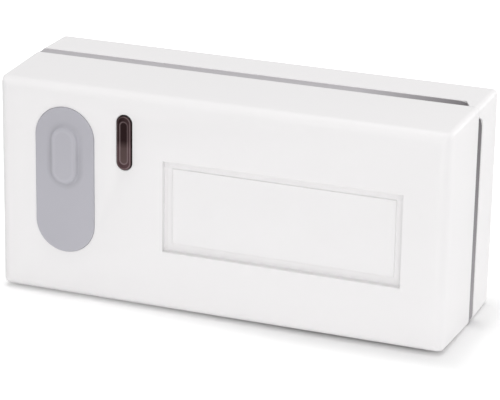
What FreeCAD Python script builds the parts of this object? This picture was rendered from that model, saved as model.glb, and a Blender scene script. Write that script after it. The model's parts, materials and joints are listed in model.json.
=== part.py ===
import FreeCAD, Part
import Sketcher
import math
import os

# Battery bell push: a landscape housing of a drafted front cover and a wall box with a
# seal between them. The front carries a soft press pad, a smoked lamp lens and a name window.
# X runs across the front, Z runs up and the front faces -Y. The origin is under the middle
# of the housing, at its lowest edge. Inside each sub-part, Y is the depth behind the front face.

SIZES = {
    # Housing outside
    "body_width": 90.0,
    "body_height": 43.2,
    "cover_depth": 16.9,
    "seal_thickness": 2.9,
    "box_depth": 9.85,
    "cover_draft": 0.46,
    "front_round": 2.0,
    "corner_round": 1.0,
    "back_edge": 0.4,
    # Housing walls, and the lip of the wall box that centres the cover
    "side_wall": 1.8,
    "front_wall": 2.2,
    "back_wall": 2.0,
    "inner_round": 1.6,
    "lip_wall": 1.1,
    "lip_gap": 0.15,
    "lip_reach": 3.0,
    # Seal between cover and box, set back a little, with larger corners
    "seal_inset": 0.1,
    "seal_corner": 3.8,
    # Press pad with its raised finger bump, held from the housing's left end, top and bottom
    "pad_end_margin": 8.12,
    "pad_top_margin": 4.87,
    "pad_low_margin": 9.39,
    "pad_width": 12.1,
    "pad_gap": 0.08,
    "pad_proud": 0.3,
    "pad_edge": 0.3,
    "pad_skin": 1.5,
    "pad_flange": 1.2,
    "pad_flange_thickness": 1.0,
    "pad_travel": 0.6,
    "pad_rim_wall": 1.0,
    "bump_top_margin": 3.5,
    "bump_width": 5.5,
    "bump_height": 11.5,
    "bump_rise": 0.8,
    "bump_edge": 0.5,
    # Stem between the pad and the switch
    "stem_plate": 1.2,
    "stem_radius": 2.0,
    "stem_rib": 1.0,
    "slip_gap": 0.1,
    "stop_gap": 0.05,
    # Lamp lens, beside the pad and level with its top
    "pad_to_lamp": 4.67,
    "lamp_width": 3.1,
    "lamp_height": 10.8,
    "lamp_gap": 0.08,
    "lamp_proud": 0.3,
    "lamp_edge": 0.3,
    "lamp_flange": 0.9,
    "lamp_flange_thickness": 1.0,
    "lamp_well": 1.4,
    "lamp_skin": 1.3,
    # Name window from the lamp to the right margin, and the card behind it
    "lamp_to_window": 6.11,
    "window_end_margin": 8.7,
    "window_top_margin": 12.8,
    "window_low_margin": 12.2,
    "window_gap": 0.1,
    "window_recess": 1.3,
    "window_thickness": 1.2,
    "window_bevel": 0.5,
    "window_backing": 1.0,
    "backing_margin": 1.5,
    "card_margin": 1.4,
    "card_thickness": 0.25,
    "card_gap": 0.1,
    # Circuit board and its screws
    "board_end_gap": 2.0,
    "board_edge_gap": 0.75,
    "board_depth": 9.0,
    "board_thickness": 1.6,
    "board_corner": 1.5,
    "boss_radius": 2.5,
    "boss_inset": 2.8,
    "rim_to_boss": 0.05,
    "lamp_to_boss": 8.0,
    "board_screw_radius": 1.0,
    "board_screw_head": 2.1,
    "board_screw_head_height": 1.3,
    "board_screw_length": 6.0,
    "pilot_gap": 0.1,
    "pilot_depth": 5.2,
    # Tactile switch under the bump
    "switch_side": 6.0,
    "switch_height": 3.5,
    "switch_corner": 0.6,
    "switch_plate": 0.3,
    "switch_plate_margin": 0.2,
    "plunger_radius": 1.7,
    "plunger_stand": 1.2,
    "plunger_length": 3.4,
    "plunger_gap": 0.08,
    "switch_leg_length": 1.4,
    "switch_leg_width": 0.7,
    "switch_leg_pitch": 4.5,
    # Lamp
    "led_radius": 1.5,
    "led_height": 4.6,
    "led_tip": 0.8,
    "led_flange_radius": 1.9,
    "led_flange_height": 1.0,
    "led_gap": 0.3,
    "lead_pitch": 2.54,
    "lead_side": 0.5,
    "lead_hole_radius": 0.5,
    "lead_tail": 0.6,
    # Transmitter parts, placed from the board's middle or from its nearer long edge
    "chip_x": 16.0,
    "chip_drop": 0.6,
    "chip_length": 10.0,
    "chip_width": 4.0,
    "chip_height": 1.6,
    "chip_lift": 0.2,
    "chip_leg_pitch": 1.27,
    "chip_leg_width": 0.42,
    "chip_leg_thickness": 0.22,
    "chip_leg_reach": 1.0,
    "chip_legs": 8,
    "crystal_x": -2.5,
    "crystal_rise": 6.4,
    "crystal_length": 10.4,
    "crystal_width": 4.2,
    "crystal_height": 3.5,
    "crystal_base": 0.4,
    "crystal_rim": 0.35,
    "crystal_end_round": 2.0,
    "capacitor_end_inset": 12.95,
    "capacitor_inset": 3.0,
    "capacitor_radius": 2.5,
    "capacitor_height": 5.0,
    "capacitor_base": 0.8,
    "resistor_x": 3.0,
    "resistor_drop": 8.1,
    "resistor_length": 2.0,
    "resistor_width": 1.25,
    "resistor_height": 0.6,
    "resistor_pitch": 3.2,
    "resistor_count": 5,
    "aerial_x": 2.0,
    "aerial_inset": 3.4,
    "aerial_length": 26.0,
    "aerial_stand": 3.4,
    "aerial_width": 1.0,
    "aerial_thickness": 0.5,
    "aerial_bend": 1.6,
    # Cells and their cradle
    "cell_radius": 5.25,
    "cell_length": 43.3,
    "nub_radius": 1.9,
    "nub_height": 1.2,
    "cell_pitch": 11.8,
    "cell_gap": 0.3,
    "cradle_lift": 1.5,
    "cradle_floor": 1.2,
    "cradle_rise": 1.6,
    "cradle_side": 1.2,
    "cradle_end": 1.5,
    "cradle_foot": 3.0,
    "cradle_foot_inset": 4.5,
    "contact_room": 3.0,
    "contact_thickness": 0.4,
    "contact_width": 7.0,
    "contact_gap": 0.1,
    "contact_dimple": 1.6,
    "contact_tie": 2.6,
    # Wall box: fixing holes, cell ribs, closing hooks and screw lugs
    "fixing_spacing": 72.0,
    "fixing_radius": 2.2,
    "fixing_boss_radius": 4.4,
    "fixing_boss_height": 1.5,
    "rib_thickness": 1.2,
    "rib_spacing": 15.0,
    "rib_height": 20.0,
    "rib_gap": 0.3,
    "hook_x": 24.0,
    "hook_width": 8.0,
    "hook_reach": 3.4,
    "hook_ease": 0.4,
    "hook_seat": 0.9,
    "barb_length": 1.2,
    "barb_rise": 1.0,
    "barb_gap": 0.3,
    "lug_end_margin": 14.0,
    "lug_width": 7.0,
    "lug_top": 8.4,
    "lug_gap": 0.5,
    "lug_reach": 5.4,
    "screw_to_seam": 2.9,
    "closing_screw_radius": 1.35,
    "closing_screw_head": 2.4,
    "closing_screw_head_height": 0.9,
    "closing_screw_length": 6.6,
    "closing_screw_sink": 0.4,
    "screw_hole_gap": 0.2,
}


class Size:
    """A length as a number, with the sheet formula that keeps a model bound to it."""

    def __init__(self, number, formula):
        self.number = number
        self.formula = formula

    def __add__(self, other):
        other = as_size(other)
        return Size(self.number + other.number, f"({self.formula} + {other.formula})")

    def __sub__(self, other):
        other = as_size(other)
        return Size(self.number - other.number, f"({self.formula} - {other.formula})")

    def __mul__(self, other):
        other = as_size(other)
        return Size(self.number * other.number, f"({self.formula} * {other.formula})")

    def __truediv__(self, other):
        other = as_size(other)
        return Size(self.number / other.number, f"({self.formula} / {other.formula})")

    def __neg__(self):
        return self * -1

    __radd__ = __add__
    __rmul__ = __mul__


def as_size(value):
    if isinstance(value, Size):
        return value
    return Size(float(value), repr(float(value)))


class Sheet:
    """The sizes by name, each bound to its own cell."""


doc = FreeCAD.newDocument("bell_push")
sheet = doc.addObject("Spreadsheet::Sheet", "Sizes")
s = Sheet()
for row, (size_name, number) in enumerate(SIZES.items(), start=1):
    sheet.set(f"A{row}", size_name)
    sheet.set(f"B{row}", str(number))
    sheet.setAlias(f"B{row}", size_name)
    setattr(s, size_name, Size(number, f"Sizes.{size_name}"))
doc.recompute()

bodies = []

# An edge along the depth is at least this many times longer than it leans
DEPTH_TO_DRAFT = 5


# Places worked out from the sizes

bump_out = s.pad_proud + s.bump_rise
front_y = (bump_out - s.cover_depth - s.seal_thickness - s.box_depth) / 2
middle_z = s.body_height / 2
pad_x = s.pad_end_margin + s.pad_width / 2 - s.body_width / 2
pad_height = s.body_height - s.pad_top_margin - s.pad_low_margin
pad_z = s.pad_low_margin + pad_height / 2
bump_z = s.body_height - s.pad_top_margin - s.bump_top_margin - s.bump_height / 2
lamp_x = pad_x + s.pad_width / 2 + s.pad_to_lamp + s.lamp_width / 2
lamp_z = s.body_height - s.pad_top_margin - s.lamp_height / 2
window_left = lamp_x + s.lamp_width / 2 + s.lamp_to_window
window_right = s.body_width / 2 - s.window_end_margin
window_x = (window_left + window_right) / 2
window_width = window_right - window_left
window_height = s.body_height - s.window_top_margin - s.window_low_margin
window_z = s.window_low_margin + window_height / 2
box_front = s.cover_depth + s.seal_thickness
back_depth = box_front + s.box_depth
cavity_back = back_depth - s.back_wall
lip_front = s.cover_depth - s.lip_reach
lip_width = s.body_width - 2 * (s.side_wall + s.lip_gap)
lip_height = s.body_height - 2 * (s.side_wall + s.lip_gap)
cavity_width = lip_width - 2 * s.lip_wall
cavity_height = lip_height - 2 * s.lip_wall
flange_front = s.front_wall + s.stop_gap
pad_back = flange_front + s.pad_flange_thickness
pad_hollow = s.pad_skin - s.pad_proud
hollow_width = s.pad_width - 2 * s.pad_skin
hollow_height = pad_height - 2 * s.pad_skin
flange_room = 2 * (s.pad_gap + s.pad_flange + s.slip_gap)
rim_width = s.pad_width + flange_room + 2 * s.pad_rim_wall
switch_front = s.board_depth - s.switch_height
plate_front = switch_front - s.switch_plate
plunger_front = plate_front - s.plunger_stand
board_back = s.board_depth + s.board_thickness
cell_depth = board_back + s.cradle_lift + s.cradle_floor + s.cell_gap + s.cell_radius
cradle_front = board_back + s.cradle_lift
cradle_back = cell_depth + s.cradle_rise
trough_half = s.cell_length / 2 + s.contact_room
strip_face = trough_half - s.contact_gap - s.contact_thickness
tie_front = cradle_back - s.contact_tie
lug_x = s.body_width / 2 - s.lug_end_margin
bottom_at_screws = s.cover_draft * s.screw_to_seam / s.cover_depth
head_low = bottom_at_screws + s.closing_screw_sink
closing_screws = [(way * lug_x, s.cover_depth - s.screw_to_seam) for way in (-1, 1)]
board_width = cavity_width - 2 * s.board_end_gap
board_height = cavity_height - 2 * s.board_edge_gap
board_low = middle_z - board_height / 2
board_high = middle_z + board_height / 2
capacitor_x = board_width / 2 - s.capacitor_end_inset
boss_left = pad_x + rim_width / 2 + s.rim_to_boss + s.boss_radius
boss_upper_left = lamp_x + s.lamp_to_boss
boss_right = board_width / 2 - s.boss_inset
boss_low = board_low + s.boss_inset
boss_high = board_high - s.boss_inset
board_bosses = [
    (boss_left, boss_low),
    (boss_upper_left, boss_high),
    (boss_right, boss_low),
    (boss_right, boss_high),
]


# Modelling helpers

def bind(item, path, size):
    item.setExpression(path, as_size(size).formula)


def new_body(label):
    body = doc.addObject("PartDesign::Body", label)
    body.Label = label
    body.AllowCompound = True
    bind(body, "Placement.Base.y", front_y)
    bodies.append(body)
    return body


def new_sketch(body, plane, x=0.0, depth=0.0, z=0.0):
    """A sketch on one of the body's own planes, with its origin at that place."""
    sketch = body.newObject("Sketcher::SketchObject", f"{body.Name}_sketch")
    support = [item for item in body.Origin.OriginFeatures if item.Role == plane][0]
    sketch.AttachmentSupport = [(support, "")]
    sketch.MapMode = "FlatFace"
    x, depth, z = as_size(x), as_size(depth), as_size(z)
    offsets = {
        "XZ_Plane": (x, z, -depth),
        "XY_Plane": (x, depth, z),
        "YZ_Plane": (depth, z, x),
    }
    for axis, offset in zip("xyz", offsets[plane]):
        bind(sketch, f"AttachmentOffset.Base.{axis}", offset)
    return sketch


def dimension(sketch, kind, *items, size):
    size = as_size(size)
    index = sketch.addConstraint(Sketcher.Constraint(kind, *items, size.number))
    sketch.setExpression(f"Constraints[{index}]", size.formula)


def vector(u, v):
    return FreeCAD.Vector(as_size(u).number, as_size(v).number, 0)


def polygon(sketch, points):
    """A closed outline through the points, each held at its own two distances."""
    first = sketch.GeometryCount
    count = len(points)
    for index, (u, v) in enumerate(points):
        next_u, next_v = points[(index + 1) % count]
        sketch.addGeometry(Part.LineSegment(vector(u, v), vector(next_u, next_v)))
    for index, (u, v) in enumerate(points):
        line = first + index
        before = first + (index - 1) % count
        sketch.addConstraint(Sketcher.Constraint("Coincident", before, 2, line, 1))
        hold_point(sketch, line, 1, u, v)


def hold_point(sketch, item, point, u, v):
    for kind, at, other in (("DistanceX", as_size(u), -2), ("DistanceY", as_size(v), -1)):
        if at.formula == as_size(0).formula:
            sketch.addConstraint(Sketcher.Constraint("PointOnObject", item, point, other))
        else:
            dimension(sketch, kind, -1, 1, item, point, size=at)


def rectangle(sketch, width, height, u=0.0, v=0.0):
    u, v = as_size(u), as_size(v)
    left = u - as_size(width) / 2
    right = u + as_size(width) / 2
    low = v - as_size(height) / 2
    high = v + as_size(height) / 2
    polygon(sketch, [(left, low), (right, low), (right, high), (left, high)])


def circles(sketch, radius, centres):
    for u, v in centres:
        index = sketch.addGeometry(
            Part.Circle(vector(u, v), FreeCAD.Vector(0, 0, 1), as_size(radius).number))
        hold_point(sketch, index, 3, u, v)
        dimension(sketch, "Radius", index, size=radius)


def rounded_rectangle(sketch, width, height, radius):
    """An upright rectangle with equal round corners, centred on the sketch's origin."""
    width, height, radius = as_size(width), as_size(height), as_size(radius)
    half_w, half_h, r = width.number / 2, height.number / 2, radius.number
    ways = [(1, -1), (1, 1), (-1, 1), (-1, -1)]
    arcs = []
    for quarter, (way_u, way_v) in enumerate(ways):
        centre = FreeCAD.Vector(way_u * (half_w - r), way_v * (half_h - r), 0)
        start = math.radians(90 * quarter - 90)
        circle = Part.Circle(centre, FreeCAD.Vector(0, 0, 1), r)
        arcs.append(sketch.addGeometry(Part.ArcOfCircle(circle, start, start + math.pi / 2)))
    lines = []
    for quarter, arc in enumerate(arcs):
        following = arcs[(quarter + 1) % 4]
        start = sketch.getPoint(arc, 2)
        end = sketch.getPoint(following, 1)
        line = sketch.addGeometry(Part.LineSegment(start, end))
        lines.append(line)
        sketch.addConstraint(Sketcher.Constraint("Tangent", arc, 2, line, 1))
        sketch.addConstraint(Sketcher.Constraint("Tangent", line, 2, following, 1))
        if quarter:
            sketch.addConstraint(Sketcher.Constraint("Equal", arcs[0], arc))
    right, top, left, bottom = lines
    sketch.addConstraint(Sketcher.Constraint("Vertical", right))
    sketch.addConstraint(Sketcher.Constraint("Horizontal", top))
    dimension(sketch, "Radius", arcs[0], size=radius)
    dimension(sketch, "DistanceX", -1, 1, right, 1, size=width / 2)
    dimension(sketch, "DistanceX", left, 1, -1, 1, size=width / 2)
    dimension(sketch, "DistanceY", -1, 1, top, 1, size=height / 2)
    dimension(sketch, "DistanceY", bottom, 1, -1, 1, size=height / 2)


def stadium(sketch, width, height):
    """Two half circles joined by two straight sides, centred, its long way along v."""
    width, height = as_size(width), as_size(height)
    r = width.number / 2
    rise = height.number / 2 - r
    up = FreeCAD.Vector(0, 0, 1)
    top = sketch.addGeometry(
        Part.ArcOfCircle(Part.Circle(FreeCAD.Vector(0, rise, 0), up, r), 0, math.pi))
    low = sketch.addGeometry(
        Part.ArcOfCircle(Part.Circle(FreeCAD.Vector(0, -rise, 0), up, r), math.pi, 2 * math.pi))
    left = sketch.addGeometry(
        Part.LineSegment(FreeCAD.Vector(-r, rise, 0), FreeCAD.Vector(-r, -rise, 0)))
    right = sketch.addGeometry(
        Part.LineSegment(FreeCAD.Vector(r, -rise, 0), FreeCAD.Vector(r, rise, 0)))
    for first, second in ((top, left), (left, low), (low, right), (right, top)):
        sketch.addConstraint(Sketcher.Constraint("Tangent", first, 2, second, 1))
    sketch.addConstraint(Sketcher.Constraint("Vertical", left))
    sketch.addConstraint(Sketcher.Constraint("PointOnObject", top, 3, -2))
    dimension(sketch, "Radius", top, size=width / 2)
    dimension(sketch, "DistanceY", -1, 1, top, 3, size=(height - width) / 2)
    dimension(sketch, "DistanceY", low, 3, -1, 1, size=(height - width) / 2)


def extrude(body, kind, sketch, length, reverse, both_ways=False):
    feature = body.newObject(kind, f"{body.Name}_feature")
    feature.Profile = sketch
    bind(feature, "Length", length)
    feature.Reversed = reverse
    if both_ways:
        feature.SideType = "Symmetric"
    return feature


def pad_back_from(body, outline, length):
    """Adds material from the front outline towards the back."""
    return extrude(body, "PartDesign::Pad", outline, length, True)


def pad_up_from(body, outline, length):
    return extrude(body, "PartDesign::Pad", outline, length, False)


def cut_back_from(body, outline, length):
    """Cuts from the front outline towards the back."""
    return extrude(body, "PartDesign::Pocket", outline, length, False)


def cut_front_from(body, outline, length):
    """Cuts from the rear outline towards the front."""
    return extrude(body, "PartDesign::Pocket", outline, length, True)


def cut_up_from(body, outline, length):
    return extrude(body, "PartDesign::Pocket", outline, length, True)


def wedge(body, kind, front, front_inset, back, back_inset):
    """A drafted block between two depths, each end set in from the housing's full outline."""
    block = body.newObject(kind, f"{body.Name}_wedge")
    half = s.body_width / 2
    for path, size in (
            ("Ymin", front), ("Ymax", back),
            ("Xmin", front_inset - half), ("Xmax", half - front_inset),
            ("Zmin", front_inset), ("Zmax", s.body_height - front_inset),
            ("X2min", back_inset - half), ("X2max", half - back_inset),
            ("Z2min", back_inset), ("Z2max", s.body_height - back_inset)):
        bind(block, path, size)
    return block


def dress(body, kind, base, chosen, radius):
    """A fillet or chamfer on the edges of the last feature that the test picks."""
    doc.recompute()
    names = [f"Edge{index}" for index, edge in enumerate(base.Shape.Edges, start=1) if chosen(edge)]
    feature = body.newObject(kind, f"{body.Name}_edges")
    feature.Base = (base, names)
    bind(feature, "Radius" if kind == "PartDesign::Fillet" else "Size", radius)
    return feature


def edge_at_depth(depth):
    """Picks the edges that lie whole in the plane at one depth."""
    at = as_size(depth).number

    def chosen(edge):
        box = edge.BoundBox
        return abs(box.YMin - at) < 1e-4 and abs(box.YMax - at) < 1e-4

    return chosen


def edge_along_depth(edge):
    """Picks the long corner edges that run from front to back, with only the draft across."""
    box = edge.BoundBox
    return box.YLength > DEPTH_TO_DRAFT * max(box.XLength, box.ZLength)


def edge_along_depth_inside(edge):
    wall_inside = s.body_width.number / 2 - s.side_wall.number / 2
    centre = edge.BoundBox.Center
    return edge_along_depth(edge) and abs(centre.x) < wall_inside


# Housing

def front_cover():
    body = new_body("front_cover")
    shell = wedge(body, "PartDesign::AdditiveWedge", as_size(0), s.cover_draft, s.cover_depth,
                  as_size(0))
    corners = dress(body, "PartDesign::Fillet", shell, edge_along_depth, s.corner_round)
    dress(body, "PartDesign::Fillet", corners, edge_at_depth(0), s.front_round)

    # The cavity keeps the side wall even along the draft
    draft_left = s.cover_draft * (s.cover_depth - s.front_wall) / s.cover_depth
    cavity = wedge(body, "PartDesign::SubtractiveWedge", s.front_wall, s.side_wall + draft_left,
                   s.cover_depth, s.side_wall)
    dress(body, "PartDesign::Fillet", cavity, edge_along_depth_inside, s.inner_round)

    # A raised pad of wall backs the window recess
    backing = new_sketch(body, "XZ_Plane", x=window_x, depth=s.front_wall, z=window_z)
    rectangle(backing, window_width + 2 * s.backing_margin,
              window_height + 2 * s.backing_margin)
    pad_back_from(body, backing, s.window_backing)
    recess = new_sketch(body, "XZ_Plane", x=window_x, z=window_z)
    rectangle(recess, window_width, window_height)
    cut_back_from(body, recess, s.window_recess)

    # A rim behind the pad's opening guides its flange over the whole travel. It is thinner at
    # its two ends, where the top wall is near.
    rim_depth = s.pad_flange_thickness + s.pad_travel
    rim = new_sketch(body, "XZ_Plane", x=pad_x, depth=s.front_wall, z=pad_z)
    stadium(rim, rim_width, pad_height + flange_room + s.pad_rim_wall)
    pad_back_from(body, rim, rim_depth)
    rim_room = new_sketch(body, "XZ_Plane", x=pad_x, depth=s.front_wall, z=pad_z)
    stadium(rim_room, s.pad_width + flange_room, pad_height + flange_room)
    cut_back_from(body, rim_room, rim_depth)
    opening = new_sketch(body, "XZ_Plane", x=pad_x, z=pad_z)
    stadium(opening, s.pad_width + 2 * s.pad_gap, pad_height + 2 * s.pad_gap)
    cut_back_from(body, opening, s.front_wall)
    lamp_opening = new_sketch(body, "XZ_Plane", x=lamp_x, z=lamp_z)
    stadium(lamp_opening, s.lamp_width + 2 * s.lamp_gap, s.lamp_height + 2 * s.lamp_gap)
    cut_back_from(body, lamp_opening, s.front_wall)

    # Bosses carry the circuit board and take its screws
    bosses = new_sketch(body, "XZ_Plane", depth=s.front_wall)
    circles(bosses, s.boss_radius, board_bosses)
    pad_back_from(body, bosses, s.board_depth - s.front_wall)
    pilots = new_sketch(body, "XZ_Plane", depth=s.board_depth)
    circles(pilots, s.board_screw_radius + s.pilot_gap, board_bosses)
    cut_front_from(body, pilots, s.pilot_depth)

    # Seats for the box's hooks in the top wall, and sunk screw holes in the bottom wall
    hook_front = lip_front - s.hook_reach
    seat = new_sketch(body, "XY_Plane", z=s.body_height - s.side_wall - s.cover_draft)
    for way in (-1, 1):
        rectangle(seat, s.hook_width + 2 * s.barb_gap, s.barb_length + 2 * s.barb_gap,
                  way * s.hook_x, hook_front + s.barb_length / 2)
    cut_up_from(body, seat, s.cover_draft + s.hook_seat)
    hole = new_sketch(body, "XY_Plane", z=0)
    circles(hole, s.closing_screw_radius + s.screw_hole_gap, closing_screws)
    cut_up_from(body, hole, s.side_wall + s.cover_draft)
    sink = new_sketch(body, "XY_Plane", z=0)
    circles(sink, s.closing_screw_head + s.screw_hole_gap, closing_screws)
    cut_up_from(body, sink, head_low + s.closing_screw_head_height)
    return body


def seal_ring():
    body = new_body("seal_ring")
    outside = new_sketch(body, "XZ_Plane", depth=s.cover_depth, z=middle_z)
    rounded_rectangle(outside, s.body_width - 2 * s.seal_inset, s.body_height - 2 * s.seal_inset,
                      s.seal_corner)
    pad_back_from(body, outside, s.seal_thickness)
    inside = new_sketch(body, "XZ_Plane", depth=s.cover_depth, z=middle_z)
    rounded_rectangle(inside, s.body_width - 2 * s.side_wall, s.body_height - 2 * s.side_wall,
                      s.inner_round)
    cut_back_from(body, inside, s.seal_thickness)
    return body


def back_box():
    body = new_body("back_box")
    outline = new_sketch(body, "XZ_Plane", depth=box_front, z=middle_z)
    rounded_rectangle(outline, s.body_width, s.body_height, s.corner_round)
    block = pad_back_from(body, outline, s.box_depth)
    dress(body, "PartDesign::Chamfer", block, edge_at_depth(back_depth), s.back_edge)
    lip = new_sketch(body, "XZ_Plane", depth=lip_front, z=middle_z)
    rounded_rectangle(lip, lip_width, lip_height, s.inner_round)
    pad_back_from(body, lip, s.lip_reach + s.seal_thickness)
    cavity = new_sketch(body, "XZ_Plane", depth=lip_front, z=middle_z)
    rounded_rectangle(cavity, cavity_width, cavity_height, s.inner_round - s.lip_gap)
    cut_back_from(body, cavity, cavity_back - lip_front)

    # Ribs stop the cells just short of the back wall
    rib_front = cell_depth + s.cell_radius + s.rib_gap
    ribs = new_sketch(body, "XZ_Plane", depth=rib_front, z=middle_z)
    for way in (-1, 0, 1):
        rectangle(ribs, s.rib_thickness, s.rib_height, way * s.rib_spacing, 0.0)
    pad_back_from(body, ribs, cavity_back - rib_front)

    # Hooks on the lip's top edge reach into the cover
    hook_front = lip_front - s.hook_reach
    lip_top = middle_z + lip_height / 2
    tongue_top = lip_top - s.hook_ease
    tongue_low = lip_top - s.lip_wall - s.hook_ease
    tongues = new_sketch(body, "XZ_Plane", depth=hook_front, z=(tongue_top + tongue_low) / 2)
    for way in (-1, 1):
        rectangle(tongues, s.hook_width, tongue_top - tongue_low, way * s.hook_x, 0.0)
    pad_back_from(body, tongues, box_front - hook_front)
    barbs = new_sketch(body, "XZ_Plane", depth=hook_front, z=tongue_top + s.barb_rise / 2)
    for way in (-1, 1):
        rectangle(barbs, s.hook_width, s.barb_rise, way * s.hook_x, 0.0)
    pad_back_from(body, barbs, s.barb_length)

    # Lugs at the bottom take the closing screws
    lug_low = s.side_wall + s.lug_gap
    lug_front = s.cover_depth - s.lug_reach
    lugs = new_sketch(body, "XZ_Plane", depth=lug_front, z=(s.lug_top + lug_low) / 2)
    for way in (-1, 1):
        rectangle(lugs, s.lug_width, s.lug_top - lug_low, way * lug_x, 0.0)
    pad_back_from(body, lugs, box_front - lug_front + s.box_depth / 2)
    pilots = new_sketch(body, "XY_Plane", z=s.side_wall)
    circles(pilots, s.closing_screw_radius + s.pilot_gap, closing_screws)
    cut_up_from(body, pilots, s.lug_top - s.side_wall)

    # Wall fixings: raised bosses with a plain hole through each
    fixings = [(way * s.fixing_spacing / 2, as_size(0)) for way in (-1, 1)]
    bosses = new_sketch(body, "XZ_Plane", depth=cavity_back - s.fixing_boss_height, z=middle_z)
    circles(bosses, s.fixing_boss_radius, fixings)
    pad_back_from(body, bosses, s.fixing_boss_height)
    holes = new_sketch(body, "XZ_Plane", depth=cavity_back - s.fixing_boss_height, z=middle_z)
    circles(holes, s.fixing_radius, fixings)
    cut_back_from(body, holes, s.fixing_boss_height + s.back_wall)
    return body


# Press pad and the stem that carries its push to the switch

def push_pad():
    body = new_body("push_pad")
    outline = new_sketch(body, "XZ_Plane", x=pad_x, depth=-s.pad_proud, z=pad_z)
    stadium(outline, s.pad_width, pad_height)
    cap = pad_back_from(body, outline, pad_back + s.pad_proud)
    dress(body, "PartDesign::Chamfer", cap, edge_at_depth(-s.pad_proud), s.pad_edge)
    flange = new_sketch(body, "XZ_Plane", x=pad_x, depth=flange_front, z=pad_z)
    reach = 2 * (s.pad_gap + s.pad_flange)
    stadium(flange, s.pad_width + reach, pad_height + reach)
    pad_back_from(body, flange, s.pad_flange_thickness)
    hollow = new_sketch(body, "XZ_Plane", x=pad_x, depth=pad_hollow, z=pad_z)
    stadium(hollow, hollow_width, hollow_height)
    cut_back_from(body, hollow, pad_back - pad_hollow)
    bump = new_sketch(body, "XZ_Plane", x=pad_x, depth=-bump_out, z=bump_z)
    stadium(bump, s.bump_width, s.bump_height)
    raised = pad_back_from(body, bump, s.bump_rise)
    dress(body, "PartDesign::Chamfer", raised, edge_at_depth(-bump_out), s.bump_edge)
    return body


def press_stem():
    body = new_body("press_stem")
    plate = new_sketch(body, "XZ_Plane", x=pad_x, depth=pad_hollow, z=pad_z)
    stadium(plate, hollow_width - 2 * s.slip_gap, hollow_height - 2 * s.slip_gap)
    pad_back_from(body, plate, s.stem_plate)
    plate_back = pad_hollow + s.stem_plate
    tip = plunger_front - s.stop_gap
    stem = new_sketch(body, "XZ_Plane", x=pad_x, depth=plate_back, z=bump_z)
    circles(stem, s.stem_radius, [(0.0, 0.0)])
    pad_back_from(body, stem, tip - plate_back)

    # A rib along the plate stiffens it behind the thumb
    rib = new_sketch(body, "XZ_Plane", x=pad_x, depth=plate_back, z=pad_z)
    rectangle(rib, s.stem_rib, hollow_height - hollow_width)
    pad_back_from(body, rib, (tip - plate_back) / 2)
    return body


# Lamp lens and name window

def lamp_lens():
    body = new_body("lamp_lens")
    outline = new_sketch(body, "XZ_Plane", x=lamp_x, depth=-s.lamp_proud, z=lamp_z)
    stadium(outline, s.lamp_width, s.lamp_height)
    window = pad_back_from(body, outline, s.lamp_proud + s.front_wall)
    dress(body, "PartDesign::Chamfer", window, edge_at_depth(-s.lamp_proud), s.lamp_edge)
    flange = new_sketch(body, "XZ_Plane", x=lamp_x, depth=s.front_wall, z=lamp_z)
    reach = 2 * (s.lamp_gap + s.lamp_flange)
    stadium(flange, s.lamp_width + reach, s.lamp_height + reach)
    pad_back_from(body, flange, s.lamp_flange_thickness)

    # The well behind the face lets the lamp's light reach the whole slot
    well_front = s.lamp_skin - s.lamp_proud
    well = new_sketch(body, "XZ_Plane", x=lamp_x, depth=well_front, z=lamp_z)
    stadium(well, s.lamp_width - s.lamp_well, s.lamp_height - s.lamp_well)
    cut_back_from(body, well, s.front_wall + s.lamp_flange_thickness - well_front)
    return body


def name_window():
    body = new_body("name_window")
    face = s.window_recess - s.window_thickness
    outline = new_sketch(body, "XZ_Plane", x=window_x, depth=face, z=window_z)
    width = window_width - 2 * s.window_gap
    height = window_height - 2 * s.window_gap
    rectangle(outline, width, height)
    plate = pad_back_from(body, outline, s.window_thickness)
    dress(body, "PartDesign::Chamfer", plate, edge_at_depth(face), s.window_bevel)
    tray = new_sketch(body, "XZ_Plane", x=window_x, depth=s.window_recess, z=window_z)
    rectangle(tray, width - 2 * s.card_margin, height - 2 * s.card_margin)
    cut_front_from(body, tray, s.card_thickness + s.card_gap)
    return body


def name_card():
    body = new_body("name_card")
    card = new_sketch(body, "XZ_Plane", x=window_x, depth=s.window_recess - s.card_thickness,
                      z=window_z)
    shrink = 2 * (s.window_gap + s.card_margin + s.card_gap)
    rectangle(card, window_width - shrink, window_height - shrink)
    pad_back_from(body, card, s.card_thickness)
    return body


# Circuit board with its parts

def circuit_board():
    body = new_body("circuit_board")
    outline = new_sketch(body, "XZ_Plane", depth=s.board_depth, z=middle_z)
    rounded_rectangle(outline, board_width, board_height, s.board_corner)
    pad_back_from(body, outline, s.board_thickness)
    holes = new_sketch(body, "XZ_Plane", depth=s.board_depth)
    circles(holes, s.board_screw_radius + s.screw_hole_gap, board_bosses)
    cut_back_from(body, holes, s.board_thickness)
    leads = new_sketch(body, "XZ_Plane", depth=s.board_depth)
    circles(leads, s.lead_hole_radius,
            [(lamp_x, lamp_z + way * s.lead_pitch / 2) for way in (-1, 1)])
    cut_back_from(body, leads, s.board_thickness)
    return body


def board_screws():
    body = new_body("board_screws")
    heads = new_sketch(body, "XZ_Plane", depth=board_back)
    circles(heads, s.board_screw_head, board_bosses)
    pad_back_from(body, heads, s.board_screw_head_height)
    shanks = new_sketch(body, "XZ_Plane", depth=board_back - s.board_screw_length)
    circles(shanks, s.board_screw_radius, board_bosses)
    pad_back_from(body, shanks, s.board_screw_length)
    return body


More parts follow.
